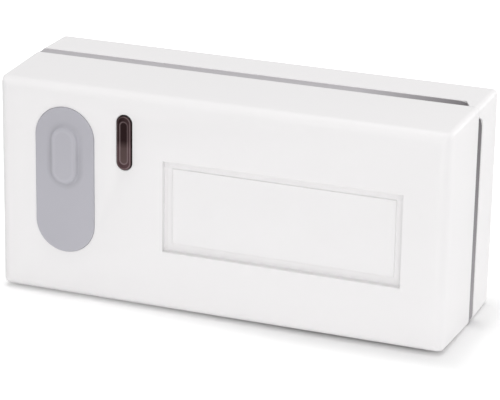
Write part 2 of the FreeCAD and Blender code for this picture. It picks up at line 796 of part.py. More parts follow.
def switch_housing():
    body = new_body("switch_housing")
    outline = new_sketch(body, "XZ_Plane", x=pad_x, depth=switch_front, z=bump_z)
    rounded_rectangle(outline, s.switch_side, s.switch_side, s.switch_corner)
    pad_back_from(body, outline, s.switch_height)
    bore = new_sketch(body, "XZ_Plane", x=pad_x, depth=switch_front, z=bump_z)
    circles(bore, s.plunger_radius + s.plunger_gap, [(0.0, 0.0)])
    cut_back_from(body, bore, s.plunger_length - s.plunger_stand - s.switch_plate
                  + s.pad_travel + s.slip_gap)
    legs = new_sketch(body, "XZ_Plane", x=pad_x, depth=s.board_depth - s.contact_thickness,
                      z=bump_z)
    for way in (-1, 1):
        rectangle(legs, s.switch_side + 2 * s.switch_leg_length, s.switch_leg_width,
                  0.0, way * s.switch_leg_pitch / 2)
    pad_back_from(body, legs, s.contact_thickness)
    return body


def switch_cover():
    body = new_body("switch_cover")
    side = s.switch_side - 2 * s.switch_plate_margin
    outline = new_sketch(body, "XZ_Plane", x=pad_x, depth=plate_front, z=bump_z)
    rounded_rectangle(outline, side, side, s.switch_corner)
    pad_back_from(body, outline, s.switch_plate)
    hole = new_sketch(body, "XZ_Plane", x=pad_x, depth=plate_front, z=bump_z)
    circles(hole, s.plunger_radius + s.plunger_gap, [(0.0, 0.0)])
    cut_back_from(body, hole, s.switch_plate)
    return body


def switch_plunger():
    body = new_body("switch_plunger")
    outline = new_sketch(body, "XZ_Plane", x=pad_x, depth=plunger_front, z=bump_z)
    circles(outline, s.plunger_radius, [(0.0, 0.0)])
    post = pad_back_from(body, outline, s.plunger_length)
    dress(body, "PartDesign::Chamfer", post, edge_at_depth(plunger_front), s.plunger_gap * 2)
    return body


def indicator_led():
    body = new_body("indicator_led")
    tip = s.front_wall + s.lamp_flange_thickness + s.led_gap
    base = tip + s.led_height
    capsule = new_sketch(body, "XZ_Plane", x=lamp_x, depth=tip, z=lamp_z)
    circles(capsule, s.led_radius, [(0.0, 0.0)])
    shell = pad_back_from(body, capsule, s.led_height)
    dress(body, "PartDesign::Chamfer", shell, edge_at_depth(tip), s.led_tip)
    flange = new_sketch(body, "XZ_Plane", x=lamp_x, depth=base - s.led_flange_height, z=lamp_z)
    circles(flange, s.led_flange_radius, [(0.0, 0.0)])
    pad_back_from(body, flange, s.led_flange_height)
    leads = new_sketch(body, "XZ_Plane", x=lamp_x, depth=base, z=lamp_z)
    for way in (-1, 1):
        rectangle(leads, s.lead_side, s.lead_side, 0.0, way * s.lead_pitch / 2)
    pad_back_from(body, leads, board_back + s.lead_tail - base)
    return body


def radio_chip():
    body = new_body("radio_chip")
    front = s.board_depth - s.chip_lift - s.chip_height
    outline = new_sketch(body, "XZ_Plane", x=s.chip_x, depth=front, z=middle_z - s.chip_drop)
    rectangle(outline, s.chip_length, s.chip_width)
    block = pad_back_from(body, outline, s.chip_height)
    dress(body, "PartDesign::Chamfer", block, edge_at_depth(front), s.chip_lift)

    # A gull-wing leg on each long side, repeated along the chip
    row = s.chip_leg_pitch * (s.chip_legs - 1)
    legs = new_sketch(body, "YZ_Plane", x=s.chip_x - row / 2, z=middle_z - s.chip_drop)
    knee = s.board_depth - s.chip_height / 2
    half = s.chip_width / 2
    elbow = half + s.chip_leg_reach / 2
    foot = half + s.chip_leg_reach
    thick = s.chip_leg_thickness
    for way in (-1, 1):
        polygon(legs, [
            (knee, way * (half - thick)),
            (knee, way * elbow),
            (s.board_depth - thick, way * elbow),
            (s.board_depth - thick, way * foot),
            (s.board_depth, way * foot),
            (s.board_depth, way * (elbow - thick)),
            (knee + thick, way * (elbow - thick)),
            (knee + thick, way * (half - thick)),
        ])
    leg = extrude(body, "PartDesign::Pad", legs, s.chip_leg_width, False, both_ways=True)
    pattern = body.newObject("PartDesign::LinearPattern", "radio_chip_legs")
    pattern.Originals = [leg]
    pattern.Direction = (legs, ["N_Axis"])
    bind(pattern, "Length", row)
    bind(pattern, "Occurrences", s.chip_legs)
    body.Tip = pattern
    return body


def crystal_can():
    body = new_body("crystal_can")
    front = s.board_depth - s.crystal_height
    crystal_z = middle_z + s.crystal_rise
    can = new_sketch(body, "XZ_Plane", x=s.crystal_x, depth=front, z=crystal_z)
    rounded_rectangle(can, s.crystal_length, s.crystal_width, s.crystal_end_round)
    pad_back_from(body, can, s.crystal_height)
    base = new_sketch(body, "XZ_Plane", x=s.crystal_x, depth=s.board_depth - s.crystal_base,
                      z=crystal_z)
    rim = 2 * s.crystal_rim
    rounded_rectangle(base, s.crystal_length + rim, s.crystal_width + rim,
                      s.crystal_end_round + s.crystal_rim)
    pad_back_from(body, base, s.crystal_base)
    return body


def power_capacitor():
    body = new_body("power_capacitor")
    front = s.board_depth - s.capacitor_base - s.capacitor_height
    capacitor_z = board_low + s.capacitor_inset
    can = new_sketch(body, "XZ_Plane", x=capacitor_x, depth=front, z=capacitor_z)
    circles(can, s.capacitor_radius, [(0.0, 0.0)])
    pad_back_from(body, can, s.capacitor_height)
    base = new_sketch(body, "XZ_Plane", x=capacitor_x, depth=s.board_depth - s.capacitor_base,
                      z=capacitor_z)
    rounded_rectangle(base, 2 * s.capacitor_radius, 2 * s.capacitor_radius, s.capacitor_base)
    pad_back_from(body, base, s.capacitor_base)
    return body


def chip_resistors():
    body = new_body("chip_resistors")
    outline = new_sketch(body, "XZ_Plane", x=s.resistor_x,
                         depth=s.board_depth - s.resistor_height, z=middle_z - s.resistor_drop)
    rectangle(outline, s.resistor_width, s.resistor_length)
    first = pad_back_from(body, outline, s.resistor_height)
    pattern = body.newObject("PartDesign::LinearPattern", "chip_resistors_row")
    pattern.Originals = [first]
    pattern.Direction = (outline, ["H_Axis"])
    bind(pattern, "Length", s.resistor_pitch * (s.resistor_count - 1))
    bind(pattern, "Occurrences", s.resistor_count)
    body.Tip = pattern
    return body


def aerial_strip():
    body = new_body("aerial_strip")
    bend, stand, run = s.aerial_bend, s.aerial_stand, s.aerial_length
    path = new_sketch(body, "XY_Plane", x=s.aerial_x, depth=s.board_depth,
                      z=board_high - s.aerial_inset)
    first_leg = path.addGeometry(
        Part.LineSegment(vector(0, 0), vector(0, bend - stand)))
    up = FreeCAD.Vector(0, 0, 1)
    near = Part.Circle(vector(bend, bend - stand), up, bend.number)
    first_bend = path.addGeometry(Part.ArcOfCircle(near, math.pi, 1.5 * math.pi))
    bar = path.addGeometry(Part.LineSegment(vector(bend, -stand), vector(run - bend, -stand)))
    far = Part.Circle(vector(run - bend, bend - stand), up, bend.number)
    second_bend = path.addGeometry(Part.ArcOfCircle(far, 1.5 * math.pi, 2 * math.pi))
    last_leg = path.addGeometry(
        Part.LineSegment(vector(run, bend - stand), vector(run, 0)))
    for first, first_end, second, second_end in (
            (first_leg, 2, first_bend, 1), (first_bend, 2, bar, 1),
            (bar, 2, second_bend, 1), (second_bend, 2, last_leg, 1)):
        path.addConstraint(Sketcher.Constraint("Tangent", first, first_end, second, second_end))
    path.addConstraint(Sketcher.Constraint("Coincident", first_leg, 1, -1, 1))
    path.addConstraint(Sketcher.Constraint("Vertical", first_leg))
    path.addConstraint(Sketcher.Constraint("Horizontal", bar))
    path.addConstraint(Sketcher.Constraint("PointOnObject", last_leg, 2, -1))
    path.addConstraint(Sketcher.Constraint("Vertical", last_leg))
    dimension(path, "Radius", first_bend, size=bend)
    dimension(path, "Radius", second_bend, size=bend)
    dimension(path, "DistanceX", -1, 1, last_leg, 2, size=run)
    dimension(path, "DistanceY", bar, 1, -1, 1, size=stand)
    section = new_sketch(body, "XZ_Plane", x=s.aerial_x, depth=s.board_depth,
                         z=board_high - s.aerial_inset)
    rectangle(section, s.aerial_thickness, s.aerial_width)
    pipe = body.newObject("PartDesign::AdditivePipe", "aerial_strip_pipe")
    pipe.Profile = section
    pipe.Spine = (path, [f"Edge{index}" for index in range(1, 6)])
    return body


# Cells, cradle and contacts

def cell(label, height_way, turned):
    """A cell on its own axis, then placed in its trough, nub to +X unless it is turned."""
    body = new_body(label)
    profile = new_sketch(body, "XY_Plane")
    half = s.cell_length / 2
    polygon(profile, [
        (-half, 0.0),
        (half + s.nub_height, 0.0),
        (half + s.nub_height, s.nub_radius),
        (half, s.nub_radius),
        (half, s.cell_radius),
        (-half, s.cell_radius),
    ])
    turn = body.newObject("PartDesign::Revolution", f"{label}_turn")
    turn.Profile = profile
    turn.ReferenceAxis = (profile, ["H_Axis"])
    turn.Angle = 360
    if turned:
        body.Placement = FreeCAD.Placement(
            FreeCAD.Vector(0, 0, 0), FreeCAD.Rotation(FreeCAD.Vector(0, 0, 1), 180))
    bind(body, "Placement.Base.y", front_y + cell_depth)
    bind(body, "Placement.Base.z", middle_z + height_way * s.cell_pitch / 2)
    return body


def battery_cradle():
    body = new_body("battery_cradle")
    length = 2 * (trough_half + s.cradle_end)
    trough_radius = s.cell_radius + s.cell_gap
    height = s.cell_pitch + 2 * (trough_radius + s.cradle_side)
    block = new_sketch(body, "XZ_Plane", depth=cradle_front, z=middle_z)
    rectangle(block, length, height)
    pad_back_from(body, block, cradle_back - cradle_front)
    troughs = new_sketch(body, "YZ_Plane", depth=cell_depth, z=middle_z)
    circles(troughs, trough_radius, [(0.0, way * s.cell_pitch / 2) for way in (-1, 1)])
    extrude(body, "PartDesign::Pocket", troughs, 2 * trough_half, False, both_ways=True)

    # Slots in the floor let the contacts' tails through to the board
    slots = new_sketch(body, "XZ_Plane", depth=cradle_front, z=middle_z)
    slot_x = trough_half - s.contact_gap - s.contact_thickness / 2
    slot_width = s.contact_thickness + 2 * s.contact_gap
    for side in (-1, 1):
        for way in (-1, 1):
            rectangle(slots, slot_width, s.contact_width + 2 * s.contact_gap,
                      side * slot_x, way * s.cell_pitch / 2)
    cut_back_from(body, slots, cell_depth - cradle_front)
    notch = new_sketch(body, "XZ_Plane", depth=tie_front - s.contact_gap,
                       z=middle_z)
    rectangle(notch, slot_width, s.cell_pitch, -slot_x, 0.0)
    cut_back_from(body, notch, cradle_back - tie_front + s.contact_gap)
    feet = new_sketch(body, "XZ_Plane", depth=board_back, z=middle_z)
    foot_x = trough_half - s.cradle_foot_inset
    for side in (-1, 1):
        for way in (-1, 1):
            rectangle(feet, s.cradle_foot, s.cradle_foot, side * foot_x, way * s.cell_pitch / 2)
    pad_back_from(body, feet, s.cradle_lift)
    return body


def contact(label, side, dimple_way, spring_way):
    """Strips of sheet in a trough's end: a dimple for a cell's nub, a sprung leaf for its base."""
    body = new_body(label)
    inner = side * strip_face
    outer = side * (strip_face + s.contact_thickness)
    rows = [way for way in (dimple_way, spring_way) if way is not None]
    low_z = middle_z - s.contact_width / 2
    for way in rows:
        strip = new_sketch(body, "XY_Plane", z=low_z + way * s.cell_pitch / 2)
        left, right = (inner, outer) if side > 0 else (outer, inner)
        polygon(strip, [(left, board_back), (right, board_back), (right, cradle_back),
                        (left, cradle_back)])
        pad_up_from(body, strip, s.contact_width)
    if len(rows) == 2:
        tie = new_sketch(body, "XY_Plane", z=middle_z - s.cell_pitch / 2)
        left, right = (inner, outer) if side > 0 else (outer, inner)
        polygon(tie, [(left, tie_front), (right, tie_front),
                      (right, cradle_back), (left, cradle_back)])
        pad_up_from(body, tie, s.cell_pitch)
    if dimple_way is not None:
        reach = strip_face - s.cell_length / 2 - s.nub_height - s.contact_gap
        dimple = new_sketch(body, "YZ_Plane", x=inner, depth=cell_depth,
                            z=middle_z + dimple_way * s.cell_pitch / 2)
        circles(dimple, s.contact_dimple, [(0.0, 0.0)])
        extrude(body, "PartDesign::Pad", dimple, reach, side > 0)
    if spring_way is not None:
        reach = strip_face - s.cell_length / 2 - s.contact_gap
        leaf_width = s.contact_width / 2
        leaf = new_sketch(body, "XY_Plane",
                          z=middle_z - leaf_width / 2 + spring_way * s.cell_pitch / 2)
        tip = side * (strip_face - reach)
        thick = s.contact_thickness
        low = cell_depth - s.cell_radius / 2
        knee = (cradle_back + low) / 2
        polygon(leaf, [
            (inner, cradle_back),
            (tip, knee),
            (inner, low),
            (inner, low + 2 * thick),
            (tip + side * thick, knee),
            (inner, cradle_back - 2 * thick),
        ])
        pad_up_from(body, leaf, leaf_width)
    return body


def cover_screws():
    body = new_body("cover_screws")
    head = new_sketch(body, "XY_Plane", z=head_low)
    circles(head, s.closing_screw_head, closing_screws)
    pad_up_from(body, head, s.closing_screw_head_height)
    shank = new_sketch(body, "XY_Plane", z=head_low)
    circles(shank, s.closing_screw_radius, closing_screws)
    pad_up_from(body, shank, s.closing_screw_length + s.closing_screw_head_height)
    return body


front_cover()
seal_ring()
back_box()
push_pad()
press_stem()
lamp_lens()
name_window()
name_card()
circuit_board()
board_screws()
switch_housing()
switch_cover()
switch_plunger()
indicator_led()
radio_chip()
crystal_can()
power_capacitor()
chip_resistors()
aerial_strip()
battery_cradle()
cell("battery_upper", 1, False)
cell("battery_lower", -1, True)
contact("positive_contact", 1, 1, None)
contact("negative_contact", 1, None, -1)
contact("bridge_contact", -1, -1, 1)
cover_screws()
doc.recompute()


# Checks before anything is written

def check_document():
    for item in doc.Objects:
        if "Invalid" in item.State or "Error" in item.State:
            raise RuntimeError(f"{item.Name} did not build: {item.State}")
    for body in bodies:
        if body.Shape.isNull() or not body.Shape.isValid():
            raise RuntimeError(f"{body.Label} has no valid shape")
        before = 0.0
        for feature in body.Group:
            if not feature.isDerivedFrom("PartDesign::Feature"):
                continue
            volume = feature.Shape.Volume
            cuts = feature.TypeId in ("PartDesign::Pocket", "PartDesign::SubtractiveWedge")
            if cuts and volume >= before - 1e-6:
                raise RuntimeError(f"{feature.Name} cuts nothing")
            before = volume


check_document()
os.makedirs("parts", exist_ok=True)
for body in bodies:
    body.Shape.exportStep(f"parts/{body.Label}.step")
    box = body.Shape.BoundBox
    print(f"{body.Label:18s} {len(body.Shape.Solids)} solid(s) {body.Shape.Volume:9.2f} mm3"
          f"  x {box.XMin:.2f} {box.XMax:.2f}  y {box.YMin:.2f} {box.YMax:.2f}"
          f"  z {box.ZMin:.2f} {box.ZMax:.2f}")
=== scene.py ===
import json
import math
from functools import cache

import bmesh
import bpy
from bpy.props import FloatProperty, FloatVectorProperty, PointerProperty
from mathutils import Matrix, Vector


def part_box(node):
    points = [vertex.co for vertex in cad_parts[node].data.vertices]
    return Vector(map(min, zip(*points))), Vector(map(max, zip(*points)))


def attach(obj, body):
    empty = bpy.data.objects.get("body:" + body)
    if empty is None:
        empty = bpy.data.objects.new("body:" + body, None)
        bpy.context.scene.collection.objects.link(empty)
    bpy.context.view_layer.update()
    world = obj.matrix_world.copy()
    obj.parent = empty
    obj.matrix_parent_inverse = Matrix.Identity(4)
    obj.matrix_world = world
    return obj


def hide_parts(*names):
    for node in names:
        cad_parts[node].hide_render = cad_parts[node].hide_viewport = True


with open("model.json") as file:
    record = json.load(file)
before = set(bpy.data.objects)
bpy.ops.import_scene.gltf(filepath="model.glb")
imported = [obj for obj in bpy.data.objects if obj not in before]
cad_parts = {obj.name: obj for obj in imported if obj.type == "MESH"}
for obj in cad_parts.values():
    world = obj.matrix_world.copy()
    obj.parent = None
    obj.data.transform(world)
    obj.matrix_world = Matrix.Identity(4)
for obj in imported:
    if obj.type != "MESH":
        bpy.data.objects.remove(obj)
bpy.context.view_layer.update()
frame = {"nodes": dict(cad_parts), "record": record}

bl_info = {
    "name": "Bell Push",
    "version": (1, 0, 0),
    "blender": (4, 5, 0),
    "location": "View3D > Sidebar > Bell Push",
    "description": "Builds a battery bell push with its press pad, lamp lens and name window",
    "category": "Add Mesh",
}

# The housing stands on Z = 0 with its front towards -Y. Lengths are in metres, and the names
# of the CAD nodes give each piece its place.

MM = 0.001
COVER_LOW, COVER_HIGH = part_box("front_cover")
SEAL_LOW, SEAL_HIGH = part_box("seal_ring")
BOX_LOW, BOX_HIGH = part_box("back_box")
PAD_LOW, PAD_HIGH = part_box("push_pad")
LENS_LOW, LENS_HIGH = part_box("lamp_lens")
WINDOW_LOW, WINDOW_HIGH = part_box("name_window")
CARD_LOW, CARD_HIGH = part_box("name_card")
SCREWS_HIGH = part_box("board_screws")[1]
CLOSING_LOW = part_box("cover_screws")[0]

FRONT = COVER_LOW.y
MIDDLE = (COVER_LOW + COVER_HIGH) / 2
PAD_CENTRE = (PAD_LOW + PAD_HIGH) / 2
LENS_CENTRE = (LENS_LOW + LENS_HIGH) / 2

# The board's four screws. The upper left one stands in from the corner, clear of the lens.
BOSSES = [(x * MM, z * MM)
          for x, z in ((-19.85, 6.6), (-10.56, 36.6), (37.15, 6.6), (37.15, 36.6))]

# How far a tool reaches past a face that it cuts, or into a piece that it joins: a little, or
# through a whole wall
PAST = MM
THROUGH = 5 * MM

# Two places closer than NEAR count as one. SQUARE and NEARLY are cosines: of a face that looks
# straight along a direction, and of one, or of an edge, that may lean a little.
NEAR = 0.01 * MM
SQUARE = 0.999
NEARLY = 0.99

# The finger bump's side from its foot to its top: shares of its blend inwards and of its rise
BUMP_SIDE = ((0.30, 0.015), (0.54, 0.06), (0.74, 0.15), (0.87, 0.28), (0.95, 0.45),
             (1.02, 0.63), (1.10, 0.79), (1.21, 0.91), (1.36, 0.97), (1.60, 1.0))


def length(name, description, millimetres):
    return FloatProperty(name=name, description=description, default=millimetres * MM,
                         min=0.0, precision=5, subtype="DISTANCE", unit="LENGTH")


def colour(name, description, rgb):
    return FloatVectorProperty(name=name, description=description, default=rgb, size=3,
                               min=0.0, max=1.0, subtype="COLOR")


def turn(name, description, degrees):
    return FloatProperty(name=name, description=description, default=math.radians(degrees),
                         subtype="ANGLE", unit="ROTATION")


def power(name, description, watts):
    return FloatProperty(name=name, description=description, default=watts, min=0.0,
                         subtype="POWER", unit="POWER")


def direction(name, way):
    return FloatVectorProperty(name=name, description="From the object to the light",
                               default=way, size=3, subtype="XYZ")


class HousingSizes(bpy.types.PropertyGroup):
    draft: length("Draft", "How far each side leans in from the seam to the front", 0.46)
    front_round: length("Front round", "Radius of the front face's edge", 2.0)
    corner_round: length("Corner round", "Radius of the corners along the depth", 1.0)
    back_round: length("Back round", "Radius of the wall box's rear edge", 0.5)
    rim_round: length("Rim round", "Radius of both shells' edges at the seam", 0.12)
    mouth_round: length("Mouth round", "Radius of the openings' edges in the front", 0.06)
    side_wall: length("Side wall", "Thickness of the side walls", 1.8)
    front_wall: length("Front wall", "Thickness of the front wall", 2.2)
    back_wall: length("Back wall", "Thickness of the wall against the house", 2.0)
    inner_round: length("Inner round", "Radius of the cavity's corners", 1.6)
    seal_corner: length("Seal corner", "Outer corner radius of the seal", 1.0)
    seal_notch: length("Seal notch", "Radius of the seal's cut back upper right corner", 4.8)
    seal_round: length("Seal round", "Radius of the seal's outer edges", 0.3)
    recess: length("Window recess", "Depth of the name window's recess", 1.3)
    window_gap: length("Window gap", "Gap between the window and its recess", 0.03)
    backing: length("Backing", "How far the window's backing reaches past it", 1.6)
    pad_rim: length("Pad rim", "Wall round the pad's flange inside the cover", 1.0)
    boss_radius: length("Boss radius", "Radius of the board's bosses", 2.5)
    pilot_radius: length("Pilot radius", "Radius of the bosses' screw pilots", 1.1)
    hook_x: length("Hook place", "From the middle to each closing hook", 24.0)
    hook_width: length("Hook width", "Width of a closing hook", 8.0)
    lug_x: length("Lug place", "From the middle to each screw lug", 31.0)
    lug_width: length("Lug width", "Width of a screw lug", 7.0)
    lug_pilot: length("Lug pilot", "Radius of the lugs' screw pilots", 1.45)
    screw_y: length("Screw depth", "From the seam's front edge to the closing screws", 2.9)
    lip_wall: length("Lip wall", "Wall of the lip that locates the cover", 1.1)
    lip_gap: length("Lip gap", "Gap between the lip and the cover", 0.15)
    lip_reach: length("Lip reach", "How far the lip reaches into the cover", 3.0)
    rib_spacing: length("Rib spacing", "Between the ribs behind the cells", 15.0)
    rib_height: length("Rib height", "Height of the ribs behind the cells", 20.0)
    rib_width: length("Rib width", "Thickness of the ribs behind the cells", 1.2)
    rib_depth: length("Rib depth", "How far the ribs stand out of the back wall", 3.25)
    fixing_x: length("Fixing place", "From the middle to each wall fixing", 36.0)
    fixing_radius: length("Fixing radius", "Radius of the wall fixings' holes", 2.2)
    fixing_boss: length("Fixing boss", "Radius of the bosses round the wall fixings", 4.4)


class ScrewSizes(bpy.types.PropertyGroup):
    closing_head: length("Closing head", "Radius of a closing screw's head", 2.4)
    closing_height: length("Closing height", "Height of a closing screw's head", 0.9)
    closing_shank: length("Closing shank", "Radius over a closing screw's thread", 1.35)
    closing_length: length("Closing length", "Length of a closing screw under its head", 6.6)
    board_head: length("Board head", "Radius of a board screw's head", 2.1)
    board_height: length("Board height", "Height of a board screw's head", 1.3)
    board_shank: length("Board shank", "Radius over a board screw's thread", 1.0)
    board_length: length("Board length", "Length of a board screw under its head", 6.0)
    pitch: length("Pitch", "Rise of the thread in one turn", 0.8)
    thread: length("Thread", "Height of the thread on its core", 0.3)


class PadSizes(bpy.types.PropertyGroup):
    width: length("Pad width", "Width of the pad's face", 12.1)
    gap: length("Pad gap", "Gap between the pad and its opening", 0.05)
    proud: length("Pad proud", "How far the pad's face stands out of the front", 0.3)
    flange: length("Flange", "Width of the flange behind the cover", 1.28)
    flange_thickness: length("Flange thickness", "Thickness of the flange", 1.0)
    skin: length("Skin", "Thickness of the pad's wall", 1.5)
    edge_round: length("Edge round", "Radius of the pad's outer edge", 0.28)
    bump_width: length("Bump width", "Width of the finger bump", 5.3)
    bump_height: length("Bump height", "Height of the finger bump", 11.25)
    bump_top: length("Bump top", "From the pad's top down to the bump's", 3.75)
    bump_shift: length("Bump shift", "How far the bump is to the right of the middle", 0.15)
    bump_rise: length("Bump rise", "How far the bump stands out of the pad", 0.8)
    blend: length("Blend", "Reach of the hollow curve round the bump", 0.95)


class LensSizes(bpy.types.PropertyGroup):
    width: length("Lens width", "Width of the lens's face", 3.1)
    proud: length("Lens proud", "How far the lens stands out of the front", 0.3)
    gap: length("Lens gap", "Gap between the lens and its opening", 0.08)
    edge_round: length("Lens edge", "Radius of the lens's outer edge", 0.3)
    flange: length("Lens flange", "Width of the flange behind the cover", 0.98)
    flange_thickness: length("Flange thickness", "Thickness of the flange", 1.0)
    well: length("Lens wall", "Wall between the lens's side and its well", 0.7)
    skin: length("Lens skin", "Thickness of the lens in front of its well", 1.3)


class FinishColours(bpy.types.PropertyGroup):
    housing: colour("Housing", "White moulded plastic", (0.875, 0.862, 0.866))
    pad: colour("Pad", "Grey silicone rubber", (0.478, 0.472, 0.515))
    # The seal's own grey, and the painted shade that darkens it near its upper right corner
    seal: colour("Seal", "Grey seal rubber", (0.47, 0.453, 0.472))
    seal_fresh: colour("Shaded seal", "Painted shade on the seal near its upper right corner", (0.127, 0.118, 0.124))
    lens_dark: colour("Lens core", "Smoked lens over its dark core", (0.019, 0.008, 0.0085))
    lens_light: colour("Lens foot", "Smoked lens over the well's foot", (0.106, 0.07, 0.068))
    lens_flank: colour("Lens flank", "Smoked lens between the well and its edge",
                       (0.085, 0.048, 0.052))
    # Light lines of the well's and the lens's edges: partly edges seen through, partly painted
    # highlight
    lens_rim: colour("Lens rim", "Edges seen through the lens, with painted highlight", (0.24, 0.18, 0.185))
    card: colour("Card", "Blank name card", (0.885, 0.873, 0.877))


class StageSettings(bpy.types.PropertyGroup):
    azimuth: turn("Azimuth", "Camera's turn to the right of the front", 20.70)
    elevation: turn("Elevation", "Camera's height above the object", 19.56)
    roll: turn("Roll", "Camera's roll", 1.03)
    place: FloatVectorProperty(name="Camera place", description="Where the camera stands",
                               default=(0.1557, -0.408375, 0.1749), size=3,
                               subtype="TRANSLATION", unit="LENGTH")
    lens: FloatProperty(name="Lens", description="Focal length in millimetres on a 36 mm sensor",
                        default=174.41, min=1.0)
    ambient: FloatProperty(name="Ambient", description="Strength of the light from all round",
                           default=0.5, min=0.0)
    front: power("Front", "Power of the soft light from the front", 18.4)
    front_way: direction("Front direction", (0.34, -0.94, 0.1))
    side: power("Side", "Power of the soft light from the right", 17.5)
    side_way: direction("Side direction", (0.71, 0.71, 0.1))
    low_width: length("Low width", "Width of the two low soft lights", 1500.0)
    low_height: length("Low height", "Height of the two low soft lights", 420.0)
    top: power("Top", "Power of the soft light from above", 22.5)
    top_way: direction("Top direction", (-0.03, 0.05, 1.0))
    distance: length("Light distance", "From the object to the soft lights", 2400.0)
    top_side: length("Top side", "Side of the soft light above", 900.0)


# Modelling helpers

def deselect():
    if bpy.context.mode != "OBJECT":
        bpy.ops.object.mode_set(mode="OBJECT")
    bpy.ops.object.select_all(action="DESELECT")


def take_up(piece):
    """Makes a piece the active one and the only one selected."""
    deselect()
    bpy.context.view_layer.objects.active = piece
    piece.select_set(True)


def settle(name):
    """Names a new piece and puts its place into its mesh, with its object at the origin."""
    piece = bpy.context.active_object
    piece.name = piece.data.name = name
    bpy.ops.object.transform_apply(location=True, rotation=True, scale=True)
    return piece


def start_block(name, low, high):
    """Adds a block between two corners."""
    deselect()
    low, high = Vector(low), Vector(high)
    bpy.ops.mesh.primitive_cube_add(size=1.0, location=(low + high) / 2, scale=high - low)
    return settle(name)


def start_round(name, middle, radius, height, turned, sides):
    """Adds a round bar about its middle."""
    deselect()
    bpy.ops.mesh.primitive_cylinder_add(vertices=sides, radius=radius, depth=height,
                                        end_fill_type="NGON", location=middle, rotation=turned)
    return settle(name)


def start_rod(name, centre, radius, front, back, sides=48):
    """Adds a round rod that runs from front to back."""
    middle = (centre[0], (front + back) / 2, centre[1])
    turned = (math.pi / 2, math.pi / sides, 0.0)
    return start_round(name, middle, radius, back - front, turned, sides)


def start_pin(name, x, y, radius, low, high, sides=32):
    """Adds an upright round pin."""
    return start_round(name, (x, y, (low + high) / 2), radius, high - low,
                       (0.0, 0.0, math.pi / sides), sides)


def start_room(name, low, high, corner):
    """Adds a block with rounded corners along the depth."""
    room = start_block(name, low, high)
    round_edges(room, runs_in_depth, corner, segments=5)
    return room


def start_stadium(name, centre, width, height, front, back, sides=96):
    """Adds a bar with round ends: a rod whose upper and lower halves are drawn apart."""
    piece = start_rod(name, centre, width / 2, front, back, sides)
    shape(piece)
    for way in (1, -1):
        pick(piece, "VERT", lambda point: way * (point.co.z - centre[1]) > 0)
        bpy.ops.transform.translate(value=(0.0, 0.0, way * (height - width) / 2))
    finish_shape()
    return piece


def shape(piece):
    """Opens a piece for shaping in edit mode."""
    take_up(piece)
    bpy.ops.object.mode_set(mode="EDIT")


def finish_shape():
    bpy.ops.object.mode_set(mode="OBJECT")


def pick(piece, kind, test):
    """Selects the vertices, edges or faces that pass a test, and nothing else."""
    bpy.ops.mesh.select_mode(type=kind)
    bpy.ops.mesh.select_all(action="DESELECT")
    mesh = bmesh.from_edit_mesh(piece.data)
    mesh.normal_update()
    parts = {"VERT": mesh.verts, "EDGE": mesh.edges, "FACE": mesh.faces}[kind]
    chosen = [part for part in parts if test(part)]
    if not chosen:
        raise RuntimeError(f"{piece.name} has nothing to shape there")
    for part in chosen:
        part.select_set(True)
    mesh.select_flush_mode()
    bmesh.update_edit_mesh(piece.data)


def aside(distance):
    """A step of the same length to the right and up."""
    return Vector((distance, 0.0, distance))


def at_depth(low, high, front, back):
    """Gives the two corners of a box another front and back."""
    return (low.x, front, low.z), (high.x, back, high.z)


def facing(x, y, z):
    """Tests whether a face looks one way."""
    way = Vector((x, y, z))
    return lambda face: face.normal.dot(way) > SQUARE


def facing_at(way, depth):
    """Tests whether a face looks to the back, or to the front for -1, and lies at one depth."""
    return lambda face: (way * face.normal.y > SQUARE
                         and abs(face.calc_center_median().y - depth) < NEAR)


def runs_in_depth(edge):
    first, second = (point.co for point in edge.verts)
    return abs((first - second).normalized().y) > NEARLY


def between(first, second):
    """Tests whether an edge joins a face that passes one test to one that passes another."""
    def test(edge):
        if len(edge.link_faces) != 2:
            return False
        one, other = edge.link_faces
        return (first(one) and second(other)) or (first(other) and second(one))
    return test


def is_wall(face):
    return abs(face.normal.y) < 0.2


def is_upright(face):
    return abs(face.normal.z) < 0.1


def bevel(width, segments):
    bpy.ops.mesh.bevel(offset_type="OFFSET", offset=width, segments=segments, profile=0.5,
                       affect="EDGES", clamp_overlap=False)


def round_edges(piece, test, radius, segments):
    shape(piece)
    pick(piece, "EDGE", test)
    bevel(radius, segments)
    finish_shape()


def inset(thickness, depth=0.0):
    bpy.ops.mesh.inset(thickness=thickness, depth=depth)


def draw_out(y=0.0, z=0.0):
    """Draws the picked faces out."""
    bpy.ops.mesh.extrude_region_move(TRANSFORM_OT_translate={"value": (0.0, y, z)})


def resize_faces(piece, test, value, **centre):
    """Makes the faces that pass a test smaller, and tapers what leads up to them."""
    shape(piece)
    pick(piece, "FACE", test)
    bpy.ops.transform.resize(value=value, **centre)
    finish_shape()


def round_weighed(piece, width, segments, weights):
    """Rounds edges by a share of one width: (share, test) pairs."""
    shape(piece)
    for share, test in weights:
        pick(piece, "EDGE", test)
        bpy.ops.transform.edge_bevelweight(value=share)
    finish_shape()
    bpy.ops.object.modifier_add(type="BEVEL")
    modifier = piece.modifiers[-1]
    modifier.width = width
    modifier.segments = segments
    modifier.limit_method = "WEIGHT"
    modifier.use_clamp_overlap = False
    bpy.ops.object.modifier_apply(modifier=modifier.name)


def combine(piece, tool, operation):
    """Cuts a tool from a piece, or adds it, and clears the tool away."""
    take_up(piece)
    bpy.ops.object.modifier_add(type="BOOLEAN")
    modifier = piece.modifiers[-1]
    modifier.operation = operation
    modifier.solver = "EXACT"
    modifier.object = tool
    bpy.ops.object.modifier_apply(modifier=modifier.name)
    mesh = tool.data
    bpy.data.objects.remove(tool)
    bpy.data.meshes.remove(mesh)


def cut(piece, tool):
    combine(piece, tool, "DIFFERENCE")


def add(piece, tool):
    combine(piece, tool, "UNION")


def colour_in(piece, slot):
    piece.data.materials.clear()
    piece.data.materials.append(FINISHES[slot]())


